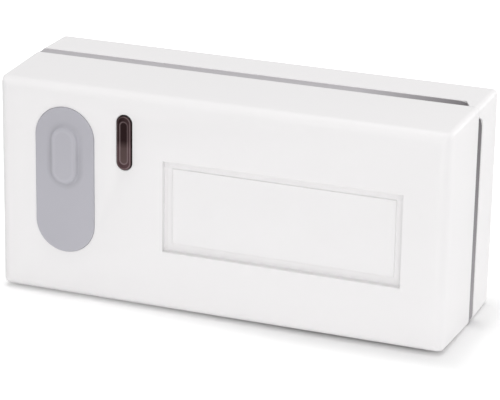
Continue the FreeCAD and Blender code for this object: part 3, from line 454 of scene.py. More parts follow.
def place(piece, body, slot, node, smooth=35.0):
    """Smooths a finished piece and puts it on its body, in its finish, for a CAD node."""
    take_up(piece)
    bpy.ops.object.shade_smooth_by_angle(angle=math.radians(smooth))
    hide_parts(node)
    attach(piece, body)
    colour_in(piece, slot)


# Materials

class Signal:
    """A node's output, which Python's operators combine through Math nodes."""

    def __init__(self, recipe, socket):
        self.recipe = recipe
        self.socket = socket

    def maths(self, operation, *inputs):
        return self.recipe.node("ShaderNodeMath", {"operation": operation}, dict(enumerate(inputs)))

    def __add__(self, other):
        return self.maths("ADD", self, other)

    def __sub__(self, other):
        return self.maths("SUBTRACT", self, other)

    def __rsub__(self, other):
        return self.maths("SUBTRACT", other, self)

    def __mul__(self, other):
        return self.maths("MULTIPLY", self, other)

    def __truediv__(self, other):
        return self.maths("DIVIDE", self, other)

    def __abs__(self):
        return self.maths("ABSOLUTE", self)

    def __lt__(self, other):
        return self.maths("LESS_THAN", self, other)

    def __gt__(self, other):
        return self.maths("GREATER_THAN", self, other)

    __radd__ = __add__
    __rmul__ = __mul__

    def most(self, other):
        return self.maths("MAXIMUM", self, other)

    def least(self, other):
        return self.maths("MINIMUM", self, other)

    def clamped(self, low=0.0, high=1.0):
        return self.most(low).least(high)

    def root(self):
        return self.maths("SQRT", self)


class Recipe:
    """The nodes of one material or world, added one at a time."""

    def __init__(self, name, world=False):
        self.material = (bpy.data.worlds if world else bpy.data.materials).new(name)
        self.material.use_nodes = True
        self.tree = self.material.node_tree
        self.shader = self.tree.nodes["Background" if world else "Principled BSDF"]
        self.colours = bpy.context.scene.finish_colours

    def node(self, kind, settings=None, inputs=None, output=0):
        """Adds a node: its settings first, then its sockets' values or links."""
        node = self.tree.nodes.new(kind)
        for name, value in (settings or {}).items():
            setattr(node, name, value)
        for socket, value in (inputs or {}).items():
            self.feed(node.inputs[socket], value)
        return Signal(self, node.outputs[output])

    def feed(self, socket, value):
        if isinstance(value, Signal):
            self.tree.links.new(value.socket, socket)
        elif socket.type == "RGBA":
            socket.default_value = (*value, 1.0)
        else:
            socket.default_value = value

    def shade(self, **inputs):
        """Feeds the surface shader: names with underscores for its sockets' spaces."""
        for name, value in inputs.items():
            self.feed(self.shader.inputs[name.replace("_", " ")], value)

    def coordinates(self):
        return self.node("ShaderNodeTexCoord", output=3)

    def axes(self):
        """The place on the piece as three values, in metres."""
        split = self.tree.nodes.new("ShaderNodeSeparateXYZ")
        self.feed(split.inputs[0], self.coordinates())
        return [Signal(self, socket) for socket in split.outputs]

    def noise(self, scale, detail=2.0, roughness=0.5, stretch=(1.0, 1.0, 1.0)):
        place = self.node("ShaderNodeMapping", {}, {0: self.coordinates(), 3: stretch})
        inputs = {"Vector": place, "Scale": scale, "Detail": detail, "Roughness": roughness}
        return self.node("ShaderNodeTexNoise", {}, inputs)

    def mix(self, factor, first, second):
        """Mixes two colours."""
        return self.node("ShaderNodeMix", {"data_type": "RGBA"}, {0: factor, 6: first, 7: second},
                         output=2)

    def tint(self, rgb, share):
        """A colour link made darker or lighter by a share."""
        return self.node("ShaderNodeVectorMath", {"operation": "SCALE"}, {0: rgb, 3: share})

    def bump(self, height, distance, strength=1.0):
        inputs = {"Height": height, "Distance": distance, "Strength": strength}
        return self.node("ShaderNodeBump", {}, inputs)

    def mottle(self, pair, gloss, relief, metallic=0.0, **grain):
        """Shades between two colours, with one fine grain in colour, gloss and relief."""
        cloud = self.noise(**grain)
        least, spread = gloss
        self.shade(Base_Color=self.mix(cloud, *pair), Metallic=metallic,
                   Roughness=least + spread * cloud, Normal=self.bump(cloud, *relief))


def shaded(rgb, share):
    """A colour made darker or lighter by a share."""
    return tuple(min(1.0, part * share) for part in rgb)


def stadium_reach(across, above, half):
    """How far a place lies from the middle line of a round-ended outline."""
    past_end = (abs(above) - half).most(0.0)
    return (across * across + past_end * past_end).root()


def ridge(value, middle, reach):
    """1 in the middle of a band, falling to 0 at its sides."""
    return (1.0 - abs(value - middle) / reach).clamped()


def finish(paint):
    """Makes a material the first time it is asked for, named after the function that paints it."""
    @cache
    def painted():
        recipe = Recipe(paint.__name__)
        paint(recipe)
        return recipe.material
    return painted


@finish
def moulded_white(recipe):
    """Satin white ABS with the fine grain of its mould."""
    white = recipe.colours.housing
    cloud = recipe.noise(60.0, detail=3.0)
    grain = recipe.noise(2600.0)
    recipe.shade(
        Base_Color=recipe.mix(cloud, shaded(white, 0.992), shaded(white, 1.006)),
        Roughness=0.42 + 0.1 * cloud,
        Specular_IOR_Level=0.3,
        Normal=recipe.bump(grain, 0.012 * MM, 0.5))


@finish
def seal_rubber(recipe):
    """Matt grey rubber with a little bloom, and painted shade towards its upper right corner."""
    colours = recipe.colours
    x, _, z = recipe.axes()
    bloom = recipe.noise(350.0, detail=4.0, roughness=0.6)
    # Painted shade: darkest at the seal's upper right corner, fading along the top over 24 mm and
    # down the right side over 72 mm
    shade_along, shade_down = 24 * MM, 72 * MM
    from_end = ((SEAL_HIGH.x - x) / shade_along).clamped()
    from_top = ((SEAL_HIGH.z - z) / shade_down).clamped()
    toned = recipe.mix(from_end.most(from_top), colours.seal_fresh, colours.seal)
    recipe.shade(
        Base_Color=recipe.mix(bloom, toned, recipe.tint(toned, 1.08)),
        Roughness=0.75 + 0.12 * bloom,
        Specular_IOR_Level=0.25,
        Normal=recipe.bump(recipe.noise(1800.0), 0.02 * MM, 0.4))


@finish
def pad_silicone(recipe):
    """Soft-touch grey silicone, with painted shade round its bump and towards its top, and a
    painted highlight on the bump's shoulder.
    """
    grey, sizes = recipe.colours.pad, bpy.context.scene.pad_sizes
    x, _, z = recipe.axes()
    cloud = recipe.noise(120.0, detail=3.0)
    grain = recipe.noise(2200.0)
    half = (sizes.bump_height - sizes.bump_width) / 2
    bump_z = PAD_HIGH.z - sizes.flange - sizes.bump_top - sizes.bump_height / 2
    across = x - PAD_CENTRE.x - sizes.bump_shift
    reach = stadium_reach(across, z - bump_z, half) - sizes.bump_width / 2
    # Painted shade in the hollow round the bump, stronger below it, and a painted highlight just
    # inside the bump's edge
    below = 0.45 + 0.55 * ((bump_z + half - z) / (3 * MM)).clamped()
    hollow = ridge(reach, 0.4 * MM, 0.9 * MM) * below
    crest_highlight = ridge(reach, -0.75 * MM, 0.35 * MM)
    # Painted shade towards the pad's top
    upper = ((z - PAD_CENTRE.z) / (10 * MM)).clamped()
    toned = recipe.mix(cloud, shaded(grey, 0.985), shaded(grey, 1.015))
    recipe.shade(
        Base_Color=recipe.tint(toned, 1.0 - 0.14 * hollow + 0.05 * crest_highlight - 0.035 * upper),
        Roughness=0.55 + 0.1 * grain,
        Specular_IOR_Level=0.3,
        Normal=recipe.bump(grain, 0.015 * MM, 0.5))


@finish
def smoked_lens(recipe):
    """Smoked lens: dark over its core, with the well's outline and its own edge painted as light
    lines, partly edges seen through and partly painted highlight.
    """
    colours = recipe.colours
    x, _, z = recipe.axes()
    across, above = (x - LENS_CENTRE.x) / MM, (z - LENS_CENTRE.z) / MM
    half_face, half_well = 3.85, 3.35
    outer = stadium_reach(across, above, half_face)
    inner = stadium_reach(across, above, half_well)
    streaks = recipe.noise(1100.0, detail=3.0, stretch=(1.0, 1.0, 0.12))
    foot = ((0.45 - above) / 1.5).clamped()
    # Painted highlight: the flank and the edge's line lighten towards the right
    right = (0.5 + across / 1.4).clamped()
    core = recipe.mix(foot * (0.7 - 0.06 * above), colours.lens_dark, colours.lens_light)
    flank = recipe.mix(foot * (0.55 + 0.3 * streaks) + 0.35 * right, colours.lens_dark,
                       colours.lens_flank)
    body = recipe.mix(((0.72 - inner) / 0.12).clamped(), flank, core)
    # Painted highlight: the well's line lightens towards the left
    left = (0.6 - across / 1.4).clamped()
    well = ridge(inner, 0.78, 0.19) * (0.15 + 0.35 * foot + 0.25 * left + 0.4 * streaks)
    edge = ridge(outer, 1.24, 0.16) * (0.15 + 0.45 * right + 0.2 * foot + 0.2 * streaks)
    lit = recipe.mix(well.most(edge), body, colours.lens_rim)
    recipe.shade(
        # Darkest along the lens's outer edge
        Base_Color=recipe.mix(((outer - 1.4) / 0.12).clamped(), lit, (0.012, 0.007, 0.008)),
        Roughness=0.12 + 0.06 * streaks,
        Specular_IOR_Level=0.08)


@finish
def clear_plastic(recipe):
    """Clear window plastic with a faint haze, and a grey border along its edges: partly the cut
    edges' own look, partly painted shade.
    """
    x, y, z = recipe.axes()
    haze = recipe.noise(90.0, detail=3.0)
    middle, half = (WINDOW_LOW + WINDOW_HIGH) / 2, (WINDOW_HIGH - WINDOW_LOW) / 2
    from_side = half.x - abs(x - middle.x)
    from_top, from_bottom = WINDOW_HIGH.z - z, 2.0 * (z - WINDOW_LOW.z)
    inward = from_side.least(from_top.least(from_bottom)) / MM
    in_face = y < WINDOW_LOW.y + 0.3 * MM
    # A grey border painted on the front face: partly the cut edges' own look, partly painted shade.
    # It is half as wide at the bottom, and more opaque along the top, where it covers the shaded
    # line at the card's upper edge.
    shaded_border = ((1.35 - inward) / 0.35).clamped() * in_face
    at_top = ((1.3 - from_top / MM) / 0.5).clamped() * in_face
    recipe.shade(
        Base_Color=recipe.mix(shaded_border, (0.95, 0.95, 0.95), (0.86, 0.85, 0.855)),
        Roughness=0.06 + 0.05 * haze,
        Alpha=0.01 + 0.01 * haze + 0.05 * shaded_border + 0.1 * at_top,
        Specular_IOR_Level=0.2)


@finish
def white_card(recipe):
    """Blank uncoated card with a paper tooth."""
    white = recipe.colours.card
    recipe.mottle((shaded(white, 0.98), shaded(white, 1.01)), (0.8, 0.1), (0.03 * MM, 0.5),
                  scale=700.0, detail=5.0, roughness=0.7)


@finish
def board_laminate(recipe):
    """Green solder resist with the tracks faint under it."""
    weave = recipe.noise(1500.0)
    track = recipe.node("ShaderNodeTexWave", {"wave_type": "BANDS", "bands_direction": "DIAGONAL"},
                        {"Vector": recipe.coordinates(), "Scale": 120.0, "Distortion": 9.0,
                         "Detail": 0.0, "Detail Scale": 0.6}, output=1)
    line = ((track - 0.72) * 9.0).clamped()
    recipe.shade(
        Base_Color=recipe.mix(line, (0.018, 0.12, 0.05), (0.04, 0.22, 0.09)),
        Roughness=0.3 + 0.1 * weave,
        Normal=recipe.bump(line, 0.03 * MM, 0.6))


def plate(recipe, rgb, roughness, scale, stretch):
    """Shades a plated metal."""
    recipe.mottle((shaded(rgb, 0.9), shaded(rgb, 1.08)), (roughness, 0.16), (0.006 * MM, 0.5),
                  metallic=1.0, scale=scale, detail=4.0, roughness=0.6, stretch=stretch)


@finish
def zinc_plate(recipe):
    """Zinc-plated screw steel."""
    plate(recipe, (0.58, 0.58, 0.57), 0.3, 1600.0, (1.0, 1.0, 1.0))


@finish
def nickel_plate(recipe):
    """Nickel-plated sheet with its rolling lines."""
    plate(recipe, (0.66, 0.65, 0.62), 0.22, 900.0, (0.15, 1.0, 1.0))


@finish
def black_moulding(recipe):
    """Matt black moulding."""
    recipe.mottle(((0.022, 0.022, 0.023), (0.042, 0.042, 0.043)), (0.5, 0.15), (0.02 * MM, 0.5),
                  scale=1700.0, detail=3.0)


@finish
def natural_moulding(recipe):
    """Uncoloured nylon of the parts inside."""
    recipe.mottle(((0.62, 0.6, 0.54), (0.7, 0.68, 0.62)), (0.5, 0.12), (0.02 * MM, 0.4),
                  scale=300.0, detail=3.0)


@finish
def lamp_resin(recipe):
    """Tinted resin of the lamp, paler towards its dome."""
    y = recipe.axes()[1]
    flow = recipe.noise(900.0)
    dome = ((FRONT + 6.5 * MM - y) / (3.0 * MM)).clamped()
    recipe.shade(
        Base_Color=recipe.mix(dome * (0.8 + 0.2 * flow), (0.42, 0.02, 0.015), (0.6, 0.09, 0.06)),
        Roughness=0.12 + 0.08 * flow)


@finish
def cell_sleeve(recipe):
    """Plain sleeved cell: a dark sleeve, paler towards both ends, and bright end caps."""
    low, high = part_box("battery_upper")
    along, span = abs(recipe.axes()[0]), high.x - low.x
    scuff = recipe.noise(500.0, detail=4.0)
    sleeve = recipe.mix(scuff, (0.03, 0.032, 0.036), (0.055, 0.057, 0.062))
    band = along > 0.3 * span
    end = along > 0.5 * span - 1.3 * MM
    toned = recipe.mix(band, sleeve, (0.32, 0.31, 0.29))
    recipe.shade(
        Base_Color=recipe.mix(end, toned, (0.6, 0.6, 0.58)),
        Metallic=end * 1.0,
        Roughness=0.3 + 0.2 * scuff)


FINISHES = {
    "housing_plastic": moulded_white,
    "seal_rubber": seal_rubber,
    "pad_rubber": pad_silicone,
    "inner_plastic": natural_moulding,
    "smoked_lens": smoked_lens,
    "clear_window": clear_plastic,
    "card": white_card,
    "board": board_laminate,
    "screw_steel": zinc_plate,
    "black_plastic": black_moulding,
    "contact_metal": nickel_plate,
    "lamp_resin": lamp_resin,
    "cell_case": cell_sleeve,
}


# Operators, one for each piece or group

def is_outer_wall(face):
    """Says whether a face is one of the housing's outer sides."""
    centre = face.calc_center_median()
    away = Vector((centre.x - MIDDLE.x, 0.0, centre.z - MIDDLE.z))
    return is_wall(face) and face.normal.dot(away) > 0.0


def at_upper_right(edge):
    """Says whether an edge is at the seal's upper right corner."""
    x, z = SEAL_HIGH.x - 10 * NEAR, SEAL_HIGH.z - 10 * NEAR
    return all(point.co.x > x and point.co.z > z for point in edge.verts)


class BELLPUSH_OT_cover_shell(bpy.types.Operator):
    """Builds the drafted front cover with its openings and window recess"""
    bl_idname = "bell_push.cover_shell"
    bl_label = "Cover shell"

    def execute(self, context):
        scene = context.scene
        sizes = scene.housing_sizes
        low, high = COVER_LOW, COVER_HIGH
        width, depth, height = high - low
        cover = start_block("cover_shell", low, high)
        resize_faces(cover, facing(0, -1, 0),
                     (1 - 2 * sizes.draft / width, 1.0, 1 - 2 * sizes.draft / height))
        round_weighed(cover, sizes.front_round, segments=10, weights=[
            (1.0, lambda edge: all(point.co.y < low.y + MM for point in edge.verts)),
            (sizes.corner_round / sizes.front_round, runs_in_depth)])
        wall = aside(sizes.side_wall)
        cut(cover, start_room("cavity", *at_depth(low + wall, high - wall, low.y + sizes.front_wall,
                                                  high.y + depth), sizes.inner_round))
        self.add_inside(cover, sizes)
        self.cut_front(cover, scene)
        self.cut_closing(cover, sizes, scene.screw_sizes)
        round_edges(cover, between(facing_at(-1, FRONT), is_wall), sizes.mouth_round, segments=3)
        round_edges(cover, between(facing_at(1, COVER_HIGH.y), is_outer_wall),
                    sizes.rim_round, segments=3)
        place(cover, "housing", "housing_plastic", "front_cover")
        return {"FINISHED"}

    def add_inside(self, cover, sizes):
        """Adds the window's backing, the rim round the pad's flange and the board's bosses."""
        inside = FRONT + sizes.front_wall
        into = inside - PAST / 2
        margin = aside(sizes.backing)
        add(cover, start_block("backing", *at_depth(WINDOW_LOW - margin, WINDOW_HIGH + margin,
                                                    inside - PAST, inside + MM)))
        play, rim_past = 0.2 * MM, 0.55 * MM
        centre = (PAD_CENTRE.x, PAD_CENTRE.z)
        width, height = PAD_HIGH.x - PAD_LOW.x + play, PAD_HIGH.z - PAD_LOW.z + play
        rim = start_stadium("pad_rim", centre, width + 2 * sizes.pad_rim,
                            height + sizes.pad_rim, into, PAD_HIGH.y + rim_past)
        cut(rim, start_stadium("rim_room", centre, width, height, inside, PAD_HIGH.y + PAST))
        add(cover, rim)
        board, edge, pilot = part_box("circuit_board")[0].y, 0.2 * MM, 5.2 * MM
        for spot in BOSSES:
            boss = start_rod("boss", spot, sizes.boss_radius, into, board, sides=32)
            round_edges(boss, between(facing(0, 1, 0), is_wall), edge, segments=2)
            add(cover, boss)
            cut(cover, start_rod("pilot", spot, sizes.pilot_radius, board - pilot,
                                 board + PAST, sides=24))

    def cut_front(self, cover, scene):
        """Cuts the window's recess and the openings of the pad and the lens."""
        gap = aside(scene.housing_sizes.window_gap)
        recess = FRONT + scene.housing_sizes.recess
        cut(cover, start_block("recess", *at_depth(WINDOW_LOW - gap, WINDOW_HIGH + gap,
                                                   WINDOW_LOW.y - THROUGH, recess)))
        for name, low, high, sizes, sides in (
                ("pad_opening", PAD_LOW, PAD_HIGH, scene.pad_sizes, 96),
                ("lens_opening", LENS_LOW, LENS_HIGH, scene.lens_sizes, 64)):
            middle = (low + high) / 2
            cut(cover, start_stadium(
                name, (middle.x, middle.z), sizes.width + 2 * sizes.gap,
                high.z - low.z - 2 * sizes.flange + 2 * sizes.gap, FRONT - THROUGH,
                FRONT + THROUGH, sides))

    def cut_closing(self, cover, sizes, screws):
        """Cuts the hooks' seats in the upper wall and the screws' holes in the underside."""
        play, seat_back, seat_top = 0.3 * MM, 1.5 * MM, 0.9 * MM
        half, ceiling = sizes.hook_width / 2 + play, COVER_HIGH.z - sizes.side_wall
        hole, sink, head_top = 1.55 * MM, 2.6 * MM, CLOSING_LOW.z + screws.closing_height
        for side in (-1, 1):
            x = side * sizes.hook_x
            cut(cover, start_block("hook_seat", (x - half, BOX_LOW.y - play, ceiling - PAST),
                                   (x + half, BOX_LOW.y + seat_back, ceiling + seat_top)))
            spot = side * sizes.lug_x, SEAL_LOW.y - sizes.screw_y
            cut(cover, start_pin("screw_hole", *spot, hole, -PAST, sizes.side_wall + PAST))
            cut(cover, start_pin("screw_sink", *spot, sink, -PAST, head_top, sides=48))


class BELLPUSH_OT_seal_band(bpy.types.Operator):
    """Builds the rubber seal, a closed band cut back at its upper right corner"""
    bl_idname = "bell_push.seal_band"
    bl_label = "Seal band"

    def execute(self, context):
        sizes = context.scene.housing_sizes
        seal = start_block("seal_band", SEAL_LOW, SEAL_HIGH)
        for radius, cut_back in ((sizes.seal_corner, False), (sizes.seal_notch, True)):
            round_edges(
                seal, lambda edge: runs_in_depth(edge) and at_upper_right(edge) == cut_back,
                radius, segments=12)
        wall = aside(sizes.side_wall)
        cut(seal, start_room("inside", BOX_LOW + wall, BOX_HIGH - wall, sizes.inner_round))
        round_edges(seal, between(lambda face: abs(face.normal.y) > SQUARE, is_outer_wall),
                    sizes.seal_round, segments=3)
        place(seal, "housing", "seal_rubber", "seal_ring")
        return {"FINISHED"}


class BELLPUSH_OT_wall_box(bpy.types.Operator):
    """Builds the wall box behind the seal"""
    bl_idname = "bell_push.wall_box"
    bl_label = "Wall box"

    def execute(self, context):
        sizes = context.scene.housing_sizes
        box = start_block("wall_box_shell", *at_depth(BOX_LOW, BOX_HIGH, SEAL_HIGH.y, BOX_HIGH.y))
        round_weighed(box, sizes.corner_round, segments=8, weights=[
            (sizes.back_round / sizes.corner_round,
             lambda edge: all(point.co.y > BOX_HIGH.y - MM for point in edge.verts)),
            (1.0, runs_in_depth)])
        lip_front, inner_back = SEAL_LOW.y - sizes.lip_reach, BOX_HIGH.y - sizes.back_wall
        lip = aside(sizes.side_wall + sizes.lip_gap)
        add(box, start_room("lip", *at_depth(BOX_LOW + lip, BOX_HIGH - lip, lip_front,
                                             SEAL_HIGH.y + PAST), sizes.inner_round))
        room, tighter = aside(sizes.side_wall + sizes.lip_gap + sizes.lip_wall), 0.15 * MM
        cut(box, start_room("cavity", *at_depth(BOX_LOW + room, BOX_HIGH - room, lip_front - PAST,
                                                inner_back), sizes.inner_round - tighter))
        self.add_inside(box, sizes, inner_back)
        self.add_closing(box, sizes)
        round_edges(box, between(facing_at(-1, SEAL_HIGH.y), is_outer_wall),
                    sizes.rim_round, segments=3)
        self.add_corner(box, sizes)
        place(box, "housing", "housing_plastic", "back_box")
        return {"FINISHED"}

    def add_inside(self, box, sizes, inner_back):
        """Adds the ribs behind the cells and the bosses round the wall fixings."""
        half, rib_front = sizes.rib_width / 2, inner_back - sizes.rib_depth
        low, high = MIDDLE.z - sizes.rib_height / 2, MIDDLE.z + sizes.rib_height / 2
        for step in (-1, 0, 1):
            x = step * sizes.rib_spacing
            add(box, start_block("rib", (x - half, rib_front, low),
                                 (x + half, inner_back + PAST, high)))
        rise, edge = 1.5 * MM, 0.3 * MM
        for side in (-1, 1):
            centre = (side * sizes.fixing_x, MIDDLE.z)
            boss = start_rod("fixing_boss", centre, sizes.fixing_boss, inner_back - rise,
                             inner_back + PAST)
            round_edges(boss, between(facing(0, -1, 0), is_wall), edge, segments=3)
            add(box, boss)
            cut(box, start_rod("fixing_hole", centre, sizes.fixing_radius,
                               BOX_HIGH.y - THROUGH, BOX_HIGH.y + THROUGH))

    def add_corner(self, box, sizes):
        """Adds the white corner that fills the seam where the seal is cut back."""
        notch = sizes.seal_notch
        x, z = SEAL_HIGH.x - notch, SEAL_HIGH.z - notch
        start, taper, inset, play = 0.27 * notch, 0.53, 0.02 * MM, 0.05 * MM
        outer = (BOX_HIGH.x - inset, BOX_HIGH.z - inset)
        corner = start_block("corner", (x + start, SEAL_LOW.y + inset, z + start),
                             (outer[0], SEAL_HIGH.y + PAST / 2, outer[1]))
        resize_faces(corner, facing(0, -1, 0), (taper, 1.0, taper),
                     center_override=(outer[0], SEAL_LOW.y, outer[1]))
        round_edges(corner, lambda edge: runs_in_depth(edge) and at_upper_right(edge),
                    sizes.corner_round, segments=8)
        cut(corner, start_rod("seal_room", (x, z), notch + play, SEAL_LOW.y - PAST,
                              SEAL_HIGH.y + PAST, sides=96))
        add(box, corner)

    def add_closing(self, box, sizes):
        """Adds the hooks at the top and the screws' lugs at the bottom."""
        hook_drop, nose, nose_rise, nose_round = 0.4 * MM, 1.2 * MM, MM, 0.6 * MM
        hook_top = BOX_HIGH.z - sizes.side_wall - sizes.lip_gap - hook_drop
        lug_low, lug_high, lug_round = sizes.side_wall + 0.5 * MM, 8.4 * MM, 0.5 * MM
        lug_front, lug_back, pilot_high = SEAL_LOW.y - 5.4 * MM, BOX_HIGH.y - 4.9 * MM, 9 * MM
        for side in (-1, 1):
            x, half = side * sizes.hook_x, sizes.hook_width / 2
            hook = start_block("hook", (x - half, BOX_LOW.y, hook_top - sizes.lip_wall),
                               (x + half, SEAL_HIGH.y + PAST, hook_top))
            shape(hook)
            bpy.ops.mesh.select_all(action="SELECT")
            bpy.ops.mesh.bisect(plane_co=(x, BOX_LOW.y + nose, 0), plane_no=(0, 1, 0))
            pick(hook, "FACE", lambda face: (
                face.normal.z > NEARLY and face.calc_center_median().y < BOX_LOW.y + nose))
            draw_out(z=nose_rise)
            finish_shape()
            round_edges(hook, between(facing(0, 0, 1), facing(0, -1, 0)), nose_round, segments=2)
            add(box, hook)
            x, half = side * sizes.lug_x, sizes.lug_width / 2
            lug = start_block("lug", (x - half, lug_front, lug_low), (x + half, lug_back, lug_high))
            round_edges(lug, between(facing(0, 0, 1), is_upright), lug_round, segments=3)
            add(box, lug)
            cut(box, start_pin("lug_pilot", x, SEAL_LOW.y - sizes.screw_y, sizes.lug_pilot,
                               PAST, pilot_high))


def start_button(name, low, high, sizes, wall, sides):
    """Adds a round-ended button, open for shaping: its flange, raised face and hollow back."""
    middle, face = (low + high) / 2, FRONT - sizes.proud
    ledge = high.y - sizes.flange_thickness
    button = start_stadium(name, (middle.x, middle.z), high.x - low.x, high.z - low.z, ledge,
                           high.y, sides)
    shape(button)
    pick(button, "FACE", facing(0, -1, 0))
    inset(sizes.flange)
    draw_out(face - ledge)
    bevel(sizes.edge_round, segments=5)
    pick(button, "FACE", facing(0, 1, 0))
    inset(sizes.flange + wall)
    draw_out(face + sizes.skin - high.y)
    return button


class BELLPUSH_OT_press_pad(bpy.types.Operator):
    """Builds the soft press pad with its finger bump"""
    bl_idname = "bell_push.press_pad"
    bl_label = "Press pad"

    def execute(self, context):
        sizes = context.scene.pad_sizes
        pad = start_button("press_pad", PAD_LOW, PAD_HIGH, sizes, sizes.skin, sides=96)
        self.raise_bump(pad, sizes)
        finish_shape()
        place(pad, "push_button", "pad_rubber", "push_pad", smooth=50.0)
        return {"FINISHED"}

    def raise_bump(self, pad, sizes):
        """Insets an outline in the face, draws its halves to the bump's foot and raises it."""
        face, rim = FRONT - sizes.proud, 0.5 * MM
        in_face = facing_at(-1, face)
        pick(pad, "FACE", in_face)
        inset(rim)
        bump_z = PAD_HIGH.z - sizes.flange - sizes.bump_top - sizes.bump_height / 2
        radius = sizes.width / 2 - sizes.edge_round - rim
        foot = sizes.bump_width / 2 + sizes.blend
        straight = PAD_HIGH.z - PAD_LOW.z - 2 * sizes.flange - sizes.width
        for way in (1, -1):
            end_z = PAD_CENTRE.z + way * straight / 2
            foot_z = bump_z + way * (sizes.bump_height - sizes.bump_width) / 2
            middle = Vector((PAD_CENTRE.x, face, end_z))
            pick(pad, "VERT", lambda point: (
                way * (point.co.z - PAD_CENTRE.z) > 0 and abs(point.co.y - face) < NEAR
                and (point.co - middle).length < radius + 10 * NEAR))
            bpy.ops.transform.resize(value=(foot / radius, 1.0, foot / radius),
                                     center_override=middle)
            bpy.ops.transform.translate(value=(sizes.bump_shift, 0.0, foot_z - end_z))
        pick(pad, "FACE", lambda part: in_face(part) and len(part.verts) > 4)
        inward = up = 0.0
        for next_inward, next_up in BUMP_SIDE:
            inset((next_inward - inward) * sizes.blend, (next_up - up) * sizes.bump_rise)
            inward, up = next_inward, next_up


class BELLPUSH_OT_lamp_window(bpy.types.Operator):
    """Builds the smoked lens of the lamp"""
    bl_idname = "bell_push.lamp_window"
    bl_label = "Lamp lens"

    def execute(self, context):
        sizes = context.scene.lens_sizes
        lens = start_button("lamp_window", LENS_LOW, LENS_HIGH, sizes, sizes.well, sides=64)
        finish_shape()
        place(lens, "housing", "smoked_lens", "lamp_lens", smooth=50.0)
        return {"FINISHED"}


class BELLPUSH_OT_name_window(bpy.types.Operator):
    """Builds the clear name window and the blank card behind it"""
    bl_idname = "bell_push.name_window"
    bl_label = "Name window"

    def execute(self, context):
        edge_round, border, hollow, card_round = 0.06 * MM, 1.49 * MM, 0.27 * MM, 0.2 * MM
        window_short, card_short = 0.03 * MM, 0.01 * MM
        window = start_block("label_window", *at_depth(WINDOW_LOW, WINDOW_HIGH, WINDOW_LOW.y,
                                                       WINDOW_HIGH.y - window_short))
        shape(window)
        pick(window, "FACE", facing(0, -1, 0))
        bevel(edge_round, segments=3)
        pick(window, "FACE", facing(0, 1, 0))
        inset(border)
        draw_out(-hollow)
        finish_shape()
        place(window, "housing", "clear_window", "name_window", smooth=30.0)
        card = start_block("name_label", *at_depth(CARD_LOW, CARD_HIGH, CARD_LOW.y,
                                                   CARD_HIGH.y - card_short))
        round_edges(card, between(facing(0, -1, 0), is_wall), card_round, segments=3)
        place(card, "housing", "card", "name_card", smooth=10.0)
        return {"FINISHED"}


class BELLPUSH_OT_screws(bpy.types.Operator):
    """Builds the two closing screws and the four board screws with their cross recesses"""
    bl_idname = "bell_push.screws"
    bl_label = "Screws"

    def execute(self, context):
        housing, sizes = context.scene.housing_sizes, context.scene.screw_sizes
        screw_y, seat = SEAL_LOW.y - housing.screw_y, CLOSING_LOW.z + sizes.closing_height
        below = [Matrix.Translation((side * housing.lug_x, screw_y, seat)) for side in (-1, 1)]
        seat, forward = SCREWS_HIGH.y - sizes.board_height, Matrix.Rotation(math.pi / 2, 4, "X")
        inside = [Matrix.Translation((x, seat, z)) @ forward for x, z in BOSSES]
        for name, kind, node, places in (("closing_screws", "closing", "cover_screws", below),
                                         ("board_fixings", "board", "board_screws", inside)):
            screw = self.turn_screw(name, kind, sizes)
            self.drive(screw, places)
            place(screw, "housing", "screw_steel", node)
        return {"FINISHED"}

    def turn_screw(self, name, kind, sizes):
        """Makes one screw that stands on its head: recess below, thread above."""
        head, height, shank, length = (getattr(sizes, f"{kind}_{part}")
                                       for part in ("head", "height", "shank", "length"))
        screw = start_pin(name, 0.0, 0.0, head, -height, 0.0, sides=48)
        round_edges(screw, between(facing(0, 0, -1), is_upright), 0.5 * height, segments=4)
        arm, reach, taper, point = 0.175 * head, 0.71875 * head, 0.7, 0.45
        for x, y in ((arm, reach), (reach, arm)):
            slot = start_block("slot", (-x, -y, -height - PAST), (x, y, -0.3 * height))
            resize_faces(slot, facing(0, 0, 1), (taper, taper, 1.0))
            cut(screw, slot)
        core = shank - sizes.thread
        add(screw, start_pin("core", 0.0, 0.0, core, -0.2 * height, length, sides=24))
        resize_faces(screw, lambda face: (face.normal.z > NEARLY and
                                          face.calc_center_median().z > length - NEAR),
                     (point, point, 1.0))
        add(screw, self.wind_thread(sizes, core, length))
        return screw

    def wind_thread(self, sizes, core, length):
        """Winds a three-sided ridge up the core."""
        under_head, bare_end = 0.5 * MM, 1.6 * MM
        deselect()
        bpy.ops.mesh.primitive_circle_add(
            vertices=3, radius=sizes.thread, location=(core, 0.0, under_head),
            rotation=(math.pi / 2, math.pi / 2, 0.0))
        thread = settle("thread")
        bpy.ops.object.modifier_add(type="SCREW")
        winding = thread.modifiers[-1]
        winding.screw_offset = sizes.pitch
        winding.iterations = int((length - bare_end) / sizes.pitch)
        winding.steps = winding.render_steps = 24
        winding.use_merge_vertices = True
        winding.merge_threshold = 0.001 * MM
        bpy.ops.object.modifier_apply(modifier=winding.name)

        # The ridge's two ends are closed, and its faces turned outwards
        shape(thread)
        pick(thread, "EDGE", lambda edge: edge.is_boundary)
        bpy.ops.mesh.fill_holes(sides=4)
        bpy.ops.mesh.select_all(action="SELECT")
        bpy.ops.mesh.normals_make_consistent(inside=False)
        finish_shape()
        return thread

    def drive(self, screw, places):
        """Copies a screw to each of its places and joins the copies into one piece."""
        driven = [screw]
        for _ in places[1:]:
            take_up(screw)
            bpy.ops.object.duplicate(linked=False)
            driven.append(bpy.context.active_object)
        for one, spot in zip(driven, places):
            one.matrix_world = spot
        deselect()
        for one in driven:
            one.select_set(True)
        bpy.ops.object.transform_apply(location=True, rotation=True, scale=True)
        bpy.context.view_layer.objects.active = screw
        bpy.ops.object.join()


class BELLPUSH_OT_inner_parts(bpy.types.Operator):
    """Gives the CAD's own parts their finishes"""
    bl_idname = "bell_push.inner_parts"
    bl_label = "Inner parts"

    def execute(self, context):
        for part in frame["record"]["subparts"]:
            colour_in(frame["nodes"][part["node"]], part["material_slot"])
        return {"FINISHED"}


